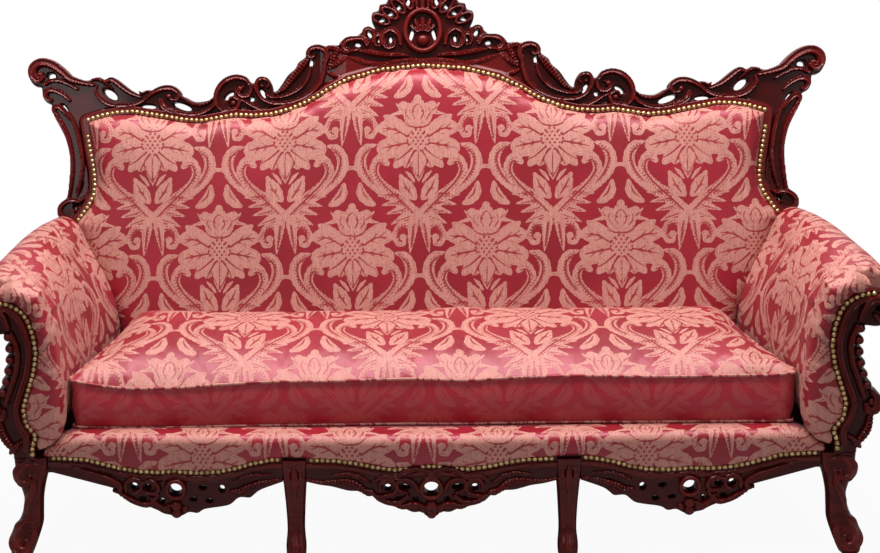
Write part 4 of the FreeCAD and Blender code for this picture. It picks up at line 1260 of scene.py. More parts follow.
def stuff_cushion(piece):
    """Crowns the top and rounds the boxing; gives the level of each vertex on it and which lie on a seam."""
    co = places(piece)
    x, y = co[:, 0], co[:, 1]
    edge = painted(piece, "edge")
    level = 1.0 + co[:, 2] / boxing_rows
    on_side = edge < 0.5
    out_x, out_y = boxing_side(x, y)
    toward_rear = smooth_step(cushion_front + 150, cushion_rear - 70, y)
    crown = swell(edge, 22, 26) + swell(edge, 38, 105)
    crown = crown + swell(edge, 24 * toward_rear, 30)
    slump = 2.5 * np.sin(x / 240 + 0.7) * np.sin(y / 120) + 1.2 * np.sin(x / 97 + y / 70)
    top = cushion_edge + edge_wave(x, y) + crown + slump * smooth_step(10, 80, edge)
    foot = cushion_bottom + 0.9
    z = foot + level * (top - cushion_bottom - 0.9)
    bow = 4 * level * (1 - level)
    plump = np.where(out_y > 0, 1.5, 6.5)
    pinch = np.where(on_side, plump * bow + 1.0 * bow * np.sin(x / 70 + y / 50), 0)
    tuck = np.where(on_side, 7.0 * (1 - level) * np.exp(-(cushion_front_half - np.abs(x)) / 30.0), 0)
    x = x + out_x * pinch - np.sign(x) * tuck
    y = y + out_y * pinch
    put(piece, np.stack([x, y, z], axis=1) / 1000.0)
    paint(piece, "level", level)
    return level, on_side & ((level > 0.999) | (level < 0.001))


def smooth_cushion(piece, level, seam):
    """Smooths the cover with its seams kept sharp, and closes it underneath."""
    finer = 2
    ends = np.empty(len(piece.data.edges) * 2, np.int32)
    piece.data.edges.foreach_get("vertices", ends)
    ends = ends.reshape(-1, 2)
    crease = piece.data.attributes.new("crease_edge", "FLOAT", "EDGE")
    same = np.abs(level[ends[:, 0]] - level[ends[:, 1]]) < 0.001
    crease.data.foreach_set("value", np.where(seam[ends].all(axis=1) & same, 0.8, 0.0).astype(np.float32))
    smoother = piece.modifiers.new("finer_cloth", "SUBSURF")
    smoother.levels = finer
    smoother.render_levels = finer
    take(piece)
    bpy.ops.object.modifier_apply(modifier=smoother.name)
    edit_rim(piece)
    bpy.ops.mesh.edge_face_add()
    face_outward()
    co = places(piece)
    co[:, 2] = np.maximum(co[:, 2], (cushion_bottom + 0.5) / 1000.0)
    put(piece, co)


def weave_cushion(piece):
    """The figure on the top, and the cloth of the boxing, which runs round the sides."""
    co = places(piece) * 1000.0
    level = painted(piece, "level")
    edge = painted(piece, "edge")
    out_x, _ = boxing_side(co[:, 0], co[:, 1])
    boxing = smooth_step(0.985, 0.955, level) * smooth_step(4.0, 1.0, edge)
    run = np.where(np.abs(out_x) > 0, co[:, 1] * np.sign(co[:, 0]) + 900, co[:, 0])
    across_cloth = np.where(boxing > 0.5, run, co[:, 0] + 100.0)
    up_cloth = np.where(boxing > 0.5, co[:, 2] - cushion_bottom + 60.0, co[:, 1] - cushion_front - 250.0)
    weave_onto(piece, across_cloth, up_cloth)
    # This mask also lightens the ground on the boxing, as painted sheen.
    paint(piece, "boxing", boxing)
    for name in ("edge", "level"):
        piece.data.attributes.remove(piece.data.attributes[name])


def make_cushion():
    """The seat cushion: a crowned top, boxing between two piped seams and a flat underside."""
    piece = cushion_blank()
    level, seam = stuff_cushion(piece)
    blown_up(piece, seam, 0.016)
    smooth_cushion(piece, level, seam)
    weave_cushion(piece)
    smooth_faces(piece, 60)
    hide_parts("cushion_cover", "cushion_core")
    return piece


def boxing_side(x, y):
    """Which way the boxing faces: along x at the ends, along y at the front and rear."""
    from_end = cushion_half(y) - np.abs(x)
    from_face = cushion_depth / 2 - np.abs(y - cushion_middle)
    at_end = from_end < from_face
    return np.where(at_end, np.sign(x), 0), np.where(at_end, 0, np.sign(y - cushion_middle))


def piping(name, ring, height, radius, wander):
    """Closed round piping that follows a seam."""
    curve = bpy.data.curves.new(name, "CURVE")
    curve.dimensions = "3D"
    curve.bevel_depth = radius / 1000.0
    curve.bevel_resolution = 3
    spline = curve.splines.new("NURBS")
    spline.points.add(len(ring) - 1)
    z = height + wander * edge_wave(ring[:, 0], ring[:, 1])
    for point, (x, y), up in zip(spline.points, ring, z):
        point.co = (x / 1000.0, y / 1000.0, up / 1000.0, 1.0)
    spline.use_cyclic_u = True
    spline.order_u = 3
    piece = bpy.data.objects.new(name, curve)
    bpy.context.scene.collection.objects.link(piece)
    take(piece)
    bpy.ops.object.convert(target="MESH")
    piece = bpy.context.object
    co = places(piece) * 1000.0
    weave_onto(piece, co[:, 0] + co[:, 1], co[:, 0] * 0.5)
    smooth_faces(piece, 80)
    return piece


def make_welts():
    top = piping("seam_piping_top", cushion_outline(2.6, 300), cushion_edge - 1.0, 3.6, 1.0)
    bottom = piping("seam_piping_bottom", cushion_outline(1.0, 300), cushion_bottom + 4.5, 3.4, 0.25)
    co = places(bottom)
    co[:, 2] = np.maximum(co[:, 2], (deck_top + 0.5) / 1000.0)
    put(bottom, co)
    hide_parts("cushion_welt_top")
    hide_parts("cushion_welt_bottom")
    return [top, bottom]


# The padded band over the front rail
def make_seat_border():
    """From the nails it bulges forward, rolls over the edge and lies back under the cushion's front."""
    half = 912.0
    piece = unit_grid("seat_border_pad", 460, 34)
    co = places(piece)
    x = co[:, 0] * 2 * half
    share = co[:, 1] + 0.5
    low = height_at(np.abs(x), nail_wave)
    end = np.sqrt(1 - smooth_step(800, half, np.abs(x)) ** 2)
    high = 308.2 - 40.0 * (1 - end)
    roll = np.minimum(21.0, (high - low) * 0.6)
    rise = np.clip(share / 0.5, 0, 1)
    turn = np.clip((share - 0.5) / 0.25, 0, 1) * math.pi / 2
    back = np.clip((share - 0.75) / 0.25, 0, 1)
    z = low - 0.6 + (high - roll - low + 0.6) * rise + roll * np.sin(turn)
    bulge = 11.0 * np.sin(np.clip(share / 0.85, 0, 1) * math.pi) ** 0.7 * (0.35 + 0.65 * end)
    gather = 1.1 * np.sin(x / 6.5 + np.sin(x / 41.0)) * np.exp(-share / 0.12)
    w = 0.6 + bulge + gather - roll * 1.1 * (1 - np.cos(turn)) - 34.0 * back
    w = w + 1.0 * np.sin(x / 120 + 1) * np.sin(share * 3) + 0.7 * np.sin(x / 37.0) * np.sin(share * math.pi)
    put(piece, np.stack([x, w, z], axis=1))
    weave_onto(piece, x + 190.0, (z - 250) - w * 0.7)
    front = thicken(piece)
    co = places(piece)
    rear = ~front
    y = serpentine(co[:, 0]) - co[:, 1]
    z = co[:, 2].copy()
    y[rear] = np.maximum(y[rear] + 4, serpentine(co[rear, 0]) + 19.0)
    z[rear] = np.minimum(z[rear], 304.0)
    put(piece, np.stack([co[:, 0], y, z], axis=1) / 1000.0)
    face_outward(piece)
    smooth_faces(piece, 60)
    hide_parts("seat_border")
    return piece


# Finishes
def add_node(tree, kind, **settings):
    """A shader node with some of its settings and input values given by name."""
    made = tree.nodes.new("ShaderNode" + kind)
    for name, value in settings.items():
        if hasattr(made, name):
            setattr(made, name, value)
        else:
            made.inputs[name.replace("_", " ")].default_value = value
    return made


def blank_material(name, **shader_values):
    """A material whose shader has some of its values given by name."""
    material = bpy.data.materials.new(name)
    material.use_nodes = True
    tree = material.node_tree
    shader = tree.nodes["Principled BSDF"]
    for key, value in shader_values.items():
        shader.inputs[key.replace("_", " ")].default_value = value
    return material, tree, shader


def blank_group(name, inputs, outputs):
    """A node group with named number, colour or vector sockets."""
    kinds = {"n": "NodeSocketFloat", "c": "NodeSocketColor", "v": "NodeSocketVector"}
    group = bpy.data.node_groups.new(name, "ShaderNodeTree")
    for label, kind, default in inputs:
        socket = group.interface.new_socket(name=label, in_out="INPUT", socket_type=kinds[kind])
        if default is not None:
            socket.default_value = default
    for label, kind in outputs:
        group.interface.new_socket(name=label, in_out="OUTPUT", socket_type=kinds[kind])
    return group, group.nodes.new("NodeGroupInput"), group.nodes.new("NodeGroupOutput")


def use_group(tree, group, place):
    """Sets a node group into a material and feeds it with places."""
    used = tree.nodes.new("ShaderNodeGroup")
    used.node_tree = group
    tree.links.new(place, used.inputs["Place"])
    return used


def remap(tree, source, low, high, to_low=0.0, to_high=1.0):
    """Carries one range of a value over to another, and holds it there."""
    ranged = add_node(tree, "MapRange", From_Min=low, From_Max=high, To_Min=to_low, To_Max=to_high)
    tree.links.new(source, ranged.inputs["Value"])
    return ranged.outputs[0]


def combine(tree, way, first, second):
    """One sum of two values, which are numbers or sockets."""
    sums = tree.nodes.new("ShaderNodeMath")
    sums.operation = way
    for slot, value in ((0, first), (1, second)):
        if isinstance(value, (int, float)):
            sums.inputs[slot].default_value = value
        else:
            tree.links.new(value, sums.inputs[slot])
    return sums.outputs[0]


def blend_colours(tree, share, first, second):
    """From the first colour to the second as the share grows."""
    mix = tree.nodes.new("ShaderNodeMix")
    mix.data_type = "RGBA"
    sockets = [s for s in mix.inputs if s.enabled]
    for socket, value in zip(sockets, (share, first, second)):
        if isinstance(value, (int, float)):
            socket.default_value = value
        elif isinstance(value, tuple):
            socket.default_value = value + (1.0,)
        else:
            tree.links.new(value, socket)
    return [s for s in mix.outputs if s.enabled][0]


def noise_at(tree, vector, scale, detail=3.0, roughness=0.55):
    noise = add_node(tree, "TexNoise", Scale=scale, Detail=detail, Roughness=roughness)
    tree.links.new(vector, noise.inputs["Vector"])
    return noise.outputs["Fac"]


def stretched(tree, vector, scale):
    mapping = tree.nodes.new("ShaderNodeMapping")
    mapping.inputs["Scale"].default_value = scale
    tree.links.new(vector, mapping.inputs["Vector"])
    return mapping.outputs["Vector"]


def weave_group():
    """Fine threads: a height, and a colour variation along the threads."""
    group, given, made = blank_group("woven_threads", [("Place", "v", None), ("Thread", "n", 900.0)],
                                     [("Height", "n"), ("Slub", "n")])
    waves = []
    for axis in ("X", "Z"):
        wave = add_node(group, "TexWave", bands_direction=axis, Distortion=1.2, Detail=1.0)
        group.links.new(given.outputs["Place"], wave.inputs["Vector"])
        group.links.new(given.outputs["Thread"], wave.inputs["Scale"])
        waves.append(wave.outputs["Fac"])
    height = combine(group, "MULTIPLY", *waves)
    streak = noise_at(group, stretched(group, given.outputs["Place"], (500.0, 60.0, 14.0)), 1.0, 2.0)
    group.links.new(height, made.inputs["Height"])
    group.links.new(streak, made.inputs["Slub"])
    return group


def grain_group():
    """Wood figure: long streaks, fine pores and a mottle."""
    group, given, made = blank_group("wood_grain", [("Place", "v", None), ("Length", "v", (1.0, 9.0, 9.0))],
                                     [("Streak", "n"), ("Pore", "n"), ("Mottle", "n")])
    scaled = group.nodes.new("ShaderNodeVectorMath")
    scaled.operation = "MULTIPLY"
    group.links.new(given.outputs["Place"], scaled.inputs[0])
    group.links.new(given.outputs["Length"], scaled.inputs[1])
    streak = noise_at(group, scaled.outputs[0], 9.0, 6.0, 0.62)
    pore = noise_at(group, scaled.outputs[0], 90.0, 2.0, 0.7)
    mottle = noise_at(group, given.outputs["Place"], 4.5, 3.0, 0.5)
    group.links.new(streak, made.inputs["Streak"])
    group.links.new(pore, made.inputs["Pore"])
    group.links.new(mottle, made.inputs["Mottle"])
    return group


def shade_and_wear_group():
    """Painted shade in hollows and rubbed high places, from a raised mask and noise."""
    group, given, made = blank_group("painted_hollow_shade_and_wear", [("Place", "v", None), ("Raised", "n", 0.5)],
                                     [("Hollow_Shade", "n"), ("Rubbed", "n")])
    rough = noise_at(group, given.outputs["Place"], 40.0, 3.0, 0.6)
    shift = combine(group, "MULTIPLY", combine(group, "SUBTRACT", rough, 0.5), 0.25)
    level = combine(group, "ADD", given.outputs["Raised"], shift)
    # The first output is painted shade that darkens the low places of the carving; the second is wear on the
    # high places.
    group.links.new(remap(group, level, 0.42, 0.12), made.inputs["Hollow_Shade"])
    group.links.new(remap(group, level, 0.62, 0.95), made.inputs["Rubbed"])
    return group


threads = weave_group()
grain = grain_group()
shade_and_wear = shade_and_wear_group()


def object_place(tree):
    return tree.nodes.new("ShaderNodeTexCoord").outputs["Object"]


def attribute_of(tree, name):
    source = tree.nodes.new("ShaderNodeAttribute")
    source.attribute_name = name
    return source.outputs["Fac"]


def finish(tree, shader, colour, rough, height, distance=0.0003, strength=0.3):
    """Gives a shader its colour and roughness, and raises the surface a little where the height is high."""
    tree.links.new(colour, shader.inputs["Base Color"])
    tree.links.new(rough, shader.inputs["Roughness"])
    bump = add_node(tree, "Bump", Strength=strength, Distance=distance)
    tree.links.new(height, bump.inputs["Height"])
    tree.links.new(bump.outputs["Normal"], shader.inputs["Normal"])


def damask_material():
    """Red satin ground and a raised salmon figure with dark veins and specks; plainer on the boxing, whose
    lighter ground is painted sheen.
    """
    material, tree, shader = blank_material("figured_damask", Sheen_Weight=0.12, Sheen_Roughness=0.4,
                                            Sheen_Tint=(1.0, 0.45, 0.5, 1.0), Specular_IOR_Level=0.6,
                                            Specular_Tint=(1.0, 0.55, 0.62, 1.0))
    place = object_place(tree)
    woven = use_group(tree, threads, place)
    woven.inputs["Thread"].default_value = 330.0
    ragged = combine(tree, "MULTIPLY", combine(tree, "SUBTRACT", noise_at(tree, place, 420.0, 1.0), 0.5), 1.8)
    edge = combine(tree, "ADD", attribute_of(tree, "figure"), ragged)
    figure = remap(tree, edge, 0.6, -0.6)
    dark = remap(tree, combine(tree, "ADD", attribute_of(tree, "vein"), ragged), 0.5, -0.6)
    stipple = remap(tree, noise_at(tree, place, 260.0, 1.0, 0.4), 0.60, 0.68)
    inside = remap(tree, attribute_of(tree, "figure"), -2.0, -5.0)
    speck = combine(tree, "MULTIPLY", combine(tree, "MULTIPLY", stipple, inside), 0.45)
    from_line = combine(tree, "ABSOLUTE", combine(tree, "ADD", edge, 3.6), 0.0)
    broken = remap(tree, noise_at(tree, place, 55.0, 2.0), 0.45, 0.56)
    outline = combine(tree, "MULTIPLY", remap(tree, from_line, 0.75, 0.3), broken)
    outline = combine(tree, "MULTIPLY", outline, 0.65)
    drawn = combine(tree, "MAXIMUM", combine(tree, "MULTIPLY", dark, 0.95), outline)
    lost = combine(tree, "MAXIMUM", drawn, speck)
    shown = combine(tree, "MULTIPLY", figure, combine(tree, "SUBTRACT", 1.0, lost))
    boxing = attribute_of(tree, "boxing")
    shown = combine(tree, "MULTIPLY", shown, remap(tree, boxing, 0.0, 1.0, 1.0, 0.17))
    soft = noise_at(tree, place, 5.0, 2.0)
    ground = blend_colours(tree, remap(tree, soft, 0.35, 0.65), (0.185, 0.005, 0.010), (0.25, 0.008, 0.018))
    # Painted sheen: the ground is made lighter on the boxing, for the satin highlight along the cushion's
    # sides.
    ground = blend_colours(tree, boxing, ground, (0.37, 0.016, 0.028))
    salmon = blend_colours(tree, remap(tree, woven.outputs["Slub"], 0.3, 0.7), (0.38, 0.150, 0.115),
                           (0.49, 0.225, 0.180))
    colour = blend_colours(tree, shown, ground, salmon)
    height = combine(tree, "ADD", combine(tree, "MULTIPLY", woven.outputs["Height"], 0.35), shown)
    finish(tree, shader, colour, remap(tree, shown, 0.0, 1.0, 0.36, 0.55), height, 0.0004, 0.5)
    return material


def mahogany_material():
    """Dark red wood under a clear polish, darkened in its hollows by painted shade and rubbed on high places.
    """
    material, tree, shader = blank_material("polished_mahogany", Coat_Weight=0.36, Coat_Roughness=0.07,
                                            Coat_IOR=1.4, Specular_IOR_Level=0.12,
                                            Specular_Tint=(1.0, 0.3, 0.25, 1.0))
    place = object_place(tree)
    figure = use_group(tree, grain, place)
    shaded_and_worn = use_group(tree, shade_and_wear, place)
    tree.links.new(attribute_of(tree, "raised"), shaded_and_worn.inputs["Raised"])
    base = blend_colours(tree, remap(tree, figure.outputs["Streak"], 0.35, 0.68), (0.036, 0.0020, 0.0020),
                         (0.096, 0.0046, 0.0040))
    base = blend_colours(tree, remap(tree, figure.outputs["Mottle"], 0.45, 0.75, 0.0, 0.5), base,
                         (0.125, 0.006, 0.005))
    base = blend_colours(tree, combine(tree, "MULTIPLY", shaded_and_worn.outputs["Rubbed"], 0.35), base,
                         (0.16, 0.011, 0.009))
    # Painted shade: the wood is made darker in the hollows of the carving.
    base = blend_colours(tree, combine(tree, "MULTIPLY", shaded_and_worn.outputs["Hollow_Shade"], 0.75), base,
                         (0.018, 0.0010, 0.0011))
    pore = figure.outputs["Pore"]
    finish(tree, shader, base, remap(tree, pore, 0.3, 0.7, 0.24, 0.36), pore, 0.0004, 0.25)
    return material


def brass_material():
    """Nail heads with some tarnish."""
    material, tree, shader = blank_material("antique_brass_heads", Metallic=1.0)
    place = object_place(tree)
    stain = remap(tree, noise_at(tree, place, 110.0, 3.0), 0.38, 0.62)
    colour = blend_colours(tree, stain, (0.30, 0.19, 0.08), (0.55, 0.39, 0.19))
    finish(tree, shader, colour, remap(tree, stain, 0.0, 1.0, 0.48, 0.28), noise_at(tree, place, 700.0, 2.0))
    return material


def cloth_material(name, first, second, thread, rough):
    """A plain woven cloth."""
    material, tree, shader = blank_material(name, Sheen_Weight=0.2)
    woven = use_group(tree, threads, object_place(tree))
    woven.inputs["Thread"].default_value = thread
    slub, height = woven.outputs["Slub"], woven.outputs["Height"]
    rougher = remap(tree, slub, 0.3, 0.7, rough - 0.06, rough + 0.06)
    finish(tree, shader, blend_colours(tree, slub, first, second), rougher, height, 0.0004, 0.5)
    return material


def beech_material():
    """The pale, unpolished wood of the inner frame."""
    material, tree, shader = blank_material("frame_beech")
    figure = use_group(tree, grain, object_place(tree))
    streak, pore = figure.outputs["Streak"], figure.outputs["Pore"]
    colour = blend_colours(tree, remap(tree, streak, 0.3, 0.7), (0.30, 0.17, 0.08), (0.48, 0.31, 0.16))
    finish(tree, shader, colour, remap(tree, pore, 0.3, 0.7, 0.55, 0.75), pore)
    return material


def speckled_material(name, first, second, scale, rough, metal=0.0):
    """A plain material with a fine grain."""
    material, tree, shader = blank_material(name, Metallic=metal)
    spread = remap(tree, noise_at(tree, object_place(tree), scale, 3.0), 0.35, 0.65)
    rougher = remap(tree, spread, 0.0, 1.0, rough - 0.08, rough + 0.08)
    finish(tree, shader, blend_colours(tree, spread, first, second), rougher, spread)
    return material


def dress(piece, material, body):
    """Gives a piece its material and says what it rides on."""
    piece.data.materials.clear()
    piece.data.materials.append(material)
    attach(piece, body)


# Legs, as sections of (x, y, height, half width, half depth)
corner_leg = [
    (980, -388, 4, 23, 23), (977, -386, 21, 28, 28), (968, -380, 52, 31, 29), (957, -374, 84, 30, 28),
    (950, -371, 112, 25, 26), (946, -369, 146, 23, 27), (946, -368, 170, 27, 30), (947, -366, 196, 34, 33),
    (945.2, -362, 222, 38, 35), (945.2, -360.5, 252, 39.6, 34)
]
corner_leg_leaves = {
    "scroll": [(930, 236, 5), (950, 242, 8), (970, 230, 10), (976, 208, 10), (966, 190, 9), (951, 194, 7),
        (949, 208, 5)],
    "knee": [(936, 210, 4), (940, 184, 8), (948, 160, 9), (958, 134, 7), (962, 112, 3)],
    "foot_scroll": [(962, 100, 4), (978, 84, 9), (990, 62, 12), (988, 38, 13), (974, 26, 11), (962, 36, 8),
        (964, 50, 5)],
    "toe": [(948, 92, 3), (946, 72, 7), (950, 48, 8), (960, 22, 6)],
}
middle_leg = [
    (321, -394, 4, 23, 21), (321, -388, 30, 24, 23), (321, -376, 66, 21, 19), (321, -372, 120, 23, 21),
    (321, -374, 165, 26, 24), (321, -374, 200, 28.4, 26), (321, -386, 246, 28.4, 24)
]
middle_leg_leaves = {
    "husk_middle": [(321, 232, 3), (321, 206, 7), (321, 176, 6), (321, 146, 2)],
    "husk_inner": [(309, 226, 3), (308, 204, 5), (313, 182, 3)],
    "husk_outer": [(333, 226, 3), (334, 204, 5), (329, 182, 3)],
    "ankle": [(321, 78, 3), (321, 56, 6), (321, 34, 8), (321, 16, 7)],
}
rear_leg = [
    (891, 220.5, 4, 19, 18), (891, 180.5, 60, 21, 20), (891, 148.5, 130, 25, 24), (891, 138.5, 200, 28, 28)
]
rear_middle_leg = [
    (330, 220.5, 4, 19, 18), (330, 180.5, 60, 21, 20), (330, 148.5, 130, 24, 24), (330, 138.5, 200, 24, 28)
]


def turned_leg(name, rows, corner, leaf_table=None):
    """A leg through rounded sections, with leaves carved on its front; corner says how square they are."""
    foot_rounding = 6.0
    piece = unit_grid(name, 72, 150)
    co = places(piece)
    turn = (co[:, 0] + 0.5) * 2 * math.pi
    line = run_of(rows, 12)
    z = rows[0][2] + (co[:, 1] + 0.5) * (rows[-1][2] - rows[0][2])
    middle_x, middle_y, half_x, half_y = [np.interp(z, line[:, 2], line[:, k]) for k in (0, 1, 3, 4)]
    square = np.interp(z, corner[0], corner[1])
    c, s = np.cos(turn), np.sin(turn)
    reach = (np.abs(c) ** square + np.abs(s) ** square) ** (-1 / square)
    end = np.minimum(z - rows[0][2], foot_rounding)
    reach = reach * (1 - (1 - np.sqrt(1 - (1 - end / foot_rounding) ** 2)) * 0.22)
    x = middle_x + half_x * reach * c
    y = middle_y + half_y * reach * s
    raised = np.full(len(z), 0.45)
    if leaf_table:
        _, relief = carve(x, z, np.full(len(z), 9.0), np.zeros(len(z)), leaf_table, -1.5, 0.95, widen=False)
        relief = relief * smooth_step(-0.55, 0.6, -s) * smooth_step(rows[-1][2] + 1, rows[-1][2] - 12, z)
        x = x + c * relief
        y = y + s * relief
        raised = np.clip(0.35 + relief / 14.0, 0, 1)
    put(piece, np.stack([x, y, z], axis=1))
    # The raised mask drives the painted shade in the hollows between the carved leaves and the wear on their
    # tops.
    paint(piece, "raised", raised)
    close_ends(piece)
    put(piece, places(piece) / 1000.0)
    smooth_faces(piece, 50)
    return piece


def make_legs():
    kinds = [("front_leg", corner_leg, ([0, 190, 215, 260], [2.3, 2.6, 7.0, 9.0]), corner_leg_leaves),
             ("front_mid_leg", middle_leg, ([0, 180, 205, 260], [2.4, 3.0, 7.0, 9.0]), middle_leg_leaves),
             ("rear_leg", rear_leg, ([0, 200], [6.0, 8.0]), None),
             ("rear_mid_leg", rear_middle_leg, ([0, 200], [6.0, 8.0]), None)]
    pieces = []
    for node, rows, corner, leaf_table in kinds:
        pieces += with_left(turned_leg("carved_" + node + "_right", rows, corner, leaf_table), node)
    return pieces


# Stretched cloths and the deck
def give_thickness(piece, metres):
    """Turns a single sheet into cloth with two faces and closed edges."""
    take(piece)
    solid = piece.modifiers.new("cloth_thickness", "SOLIDIFY")
    solid.thickness = metres
    solid.offset = -1.0
    bpy.ops.object.modifier_apply(modifier=solid.name)


def make_outer_panels():
    """The cloth pulled over the outside of each arm, from the side rail up under the roll."""
    piece = sheet_of_quads("arm_outside_cloth_right", (-314, 207), (150, 548), 8.0)
    co = places(piece)
    y, z = co[:, 0].copy(), co[:, 1].copy()
    s, c = math.sin(recline), math.cos(recline)
    rear_limit = back_datum[0] + s * (z - back_datum[1]) / c + 35.4 / c - 2.0
    share = (y + 314.0) / 464.0
    y = -314.0 + share * (np.minimum(150.0, rear_limit) + 314.0)
    along = (y + 316.0) / 487.0
    x = 987.6 + (947.6 - 987.6) * along
    inset = np.minimum.reduce([y + 314.0, np.minimum(150.0, rear_limit) - y, z - 207.0, 548.0 - z])
    x = x - 1.4 * np.exp(-inset / 10.0) + 0.5 * np.sin(z / 60.0 + y / 45.0) * smooth_step(0, 60, inset)
    x = x + smooth_step(500, 548, z) * 6.0
    put(piece, np.stack([x, y, z], axis=1))
    weave_onto(piece, y + 80.0, z - 330.0)
    put(piece, places(piece) / 1000.0)
    give_thickness(piece, 0.0016)
    smooth_faces(piece, 60)
    cloths = with_left(piece, "arm_outer_panel")
    return cloths


def make_back_cloth():
    """The plain cloth over the back of the sofa, turned forward round the two stiles and the top."""
    half, low, top = 917.0, -463.0, 406.0
    turn_in = 41.0
    head = [(x, v + 13) for x, v in nail_line_top[:14]] + [(842, 283), (850, 258), (862, 251), (half, 245)]
    piece = sheet_of_quads("back_outside_cloth", (-half - turn_in, low), (half + turn_in, top + turn_in), 12.0)
    co = places(piece)
    side_turn = np.clip(np.abs(co[:, 0]) - half, 0, turn_in)
    top_turn = np.clip(co[:, 1] - top, 0, turn_in)
    x = np.clip(co[:, 0], -half, half)
    share = np.clip((co[:, 1] - low) / (top - low), 0, 1)
    high = height_at(np.abs(x), head)
    v = low + share * (high - low)
    inset = np.minimum.reduce([half - np.abs(x), high - v, v - low])
    w = -78.9 - 0.5 * np.sin(x / 95.0) * np.sin(v / 70.0) * smooth_step(0, 80, inset)
    over_top = np.where(np.abs(x) < 860, top_turn, 0)
    w = w + np.maximum(side_turn, over_top)
    x = x + np.sign(x) * np.where(side_turn > 0, 1.6, 0)
    v = v + np.where(over_top > 0, 1.6, 0)
    put(piece, np.stack(on_back(x, v, w), axis=1) / 1000.0)
    give_thickness(piece, 0.0014)
    merge_doubles(piece, 0.00002)
    face_outward()
    smooth_faces(piece, 40)
    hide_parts("back_outer_panel")
    return piece


def make_dust_cloth():
    """The black cloth that is tacked under the seat frame."""
    box_low, box_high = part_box("dust_cover")
    piece = sheet_of_quads("underside_cloth", (-1, -1), (1, 1), 2.0 / 90)
    co = places(piece)
    rear, front = box_high[1] * 1000.0, box_low[1] * 1000.0
    share = (co[:, 1] + 1) / 2
    half = 955.0 - 40.0 * share
    x = co[:, 0] * half
    y = front + share * (rear - front)
    inset = np.minimum.reduce([half - np.abs(x), y - front, rear - y])
    z = 199.7 - 3.5 * smooth_step(0, 110, inset) + 0.5 * np.sin(x / 60.0) * smooth_step(0, 40, inset)
    put(piece, np.stack([x, y, z], axis=1) / 1000.0)
    give_thickness(piece, 0.0012)
    smooth_faces(piece, 60)
    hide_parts("dust_cover")
    return piece


def make_deck():
    """The cloth-covered felt that the loose cushion lies on."""
    piece = unit_grid("seat_deck_pad", 210, 56)
    co = places(piece)
    share = co[:, 1] + 0.5
    rear = 98.0 + depth_shift
    half = 861.0 - 61.0 * share
    x = co[:, 0] * 2 * half
    front = serpentine(x) + 20.6
    y = front + share * (rear - front)
    inset = np.minimum.reduce([half - np.abs(x), y - front, rear - y])
    hollow = 0.8 * smooth_step(0, 60, inset) * (1 + np.sin(x / 70) * 0.5)
    z = deck_top - 0.3 - 4.0 * np.exp(-inset / 5.0) - hollow
    put(piece, np.stack([x, y, z], axis=1))
    front_side = thicken(piece)
    co = places(piece)
    co[~front_side, 2] = 293.8
    put(piece, co / 1000.0)
    face_outward(piece)
    smooth_faces(piece, 60)
    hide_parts("seat_deck")
    return piece


# Camera, floor and studio light
def place_camera():
    """The camera of the photograph, as its perspective gives it; the picture is a crop of what it took."""
    photo_width, focal_length = 880.0, 1859.0
    yaw, pitch, roll = math.radians(-2.54), math.radians(14.37), math.radians(-1.31)
    forward = Vector((math.sin(yaw) * math.cos(pitch), math.cos(yaw) * math.cos(pitch), -math.sin(pitch)))
    right = Vector((math.cos(yaw), -math.sin(yaw), 0))
    upward = right.cross(forward)
    turned_right = math.cos(roll) * right + math.sin(roll) * upward
    turned_up = -math.sin(roll) * right + math.cos(roll) * upward
    data = bpy.data.cameras.new("photo_camera")
    data.sensor_width = 36.0
    data.lens = focal_length / photo_width * 36.0
    data.shift_x = 0.1389
    data.shift_y = -0.0034
    camera = bpy.data.objects.new("photo_camera", data)
    bpy.context.scene.collection.objects.link(camera)
    axes = Matrix((turned_right, turned_up, -forward)).transposed().to_4x4()
    axes.translation = Vector((-0.073, -4.507, 1.75))
    camera.matrix_world = axes
    bpy.context.scene.camera = camera


def soft_lamp(name, at, aim, size, power):
    """A square lamp at one place that points at another."""
    data = bpy.data.lights.new(name, "AREA")
    data.shape = "RECTANGLE"
    data.size, data.size_y = size
    data.energy = power
    lamp = bpy.data.objects.new(name, data)
    bpy.context.scene.collection.objects.link(lamp)
    lamp.location = at
    lamp.rotation_euler = (Vector(aim) - Vector(at)).to_track_quat("-Z", "Y").to_euler()


def light_the_studio():
    """White surroundings that are dimmer in reflections and give little light, and four soft lamps."""
    world = bpy.data.worlds.new("studio")
    bpy.context.scene.world = world
    world.use_nodes = True
    tree = world.node_tree
    tree.nodes.clear()
    out = tree.nodes.new("ShaderNodeOutputWorld")
    ground = tree.nodes.new("ShaderNodeBackground")
    path = tree.nodes.new("ShaderNodeLightPath")
    reflected = combine(tree, "MULTIPLY", path.outputs["Is Glossy Ray"], 0.42)
    seen = combine(tree, "MAXIMUM", path.outputs["Is Camera Ray"], reflected)
    seen = combine(tree, "MAXIMUM", seen, path.outputs["Is Transmission Ray"])
    tree.links.new(remap(tree, seen, 0.0, 1.0, 0.12, 1.0), ground.inputs["Strength"])
    ground.inputs["Color"].default_value = (1, 1, 1, 1)
    tree.links.new(ground.outputs[0], out.inputs[0])
    soft_lamp("overhead_lamp", (0.0, -0.4, 3.4), (0, -0.25, 0.5), (3.4, 1.1), 205)
    soft_lamp("key_lamp", (-2.0, -3.8, 2.9), (0.1, 0, 0.6), (1.2, 1.2), 18)
    soft_lamp("fill_lamp", (2.6, -3.4, 2.2), (-0.1, 0, 0.6), (1.6, 1.6), 9)
    soft_lamp("rear_lamp", (0.3, 2.6, 3.0), (0, 0, 0.8), (3.0, 1.4), 30)


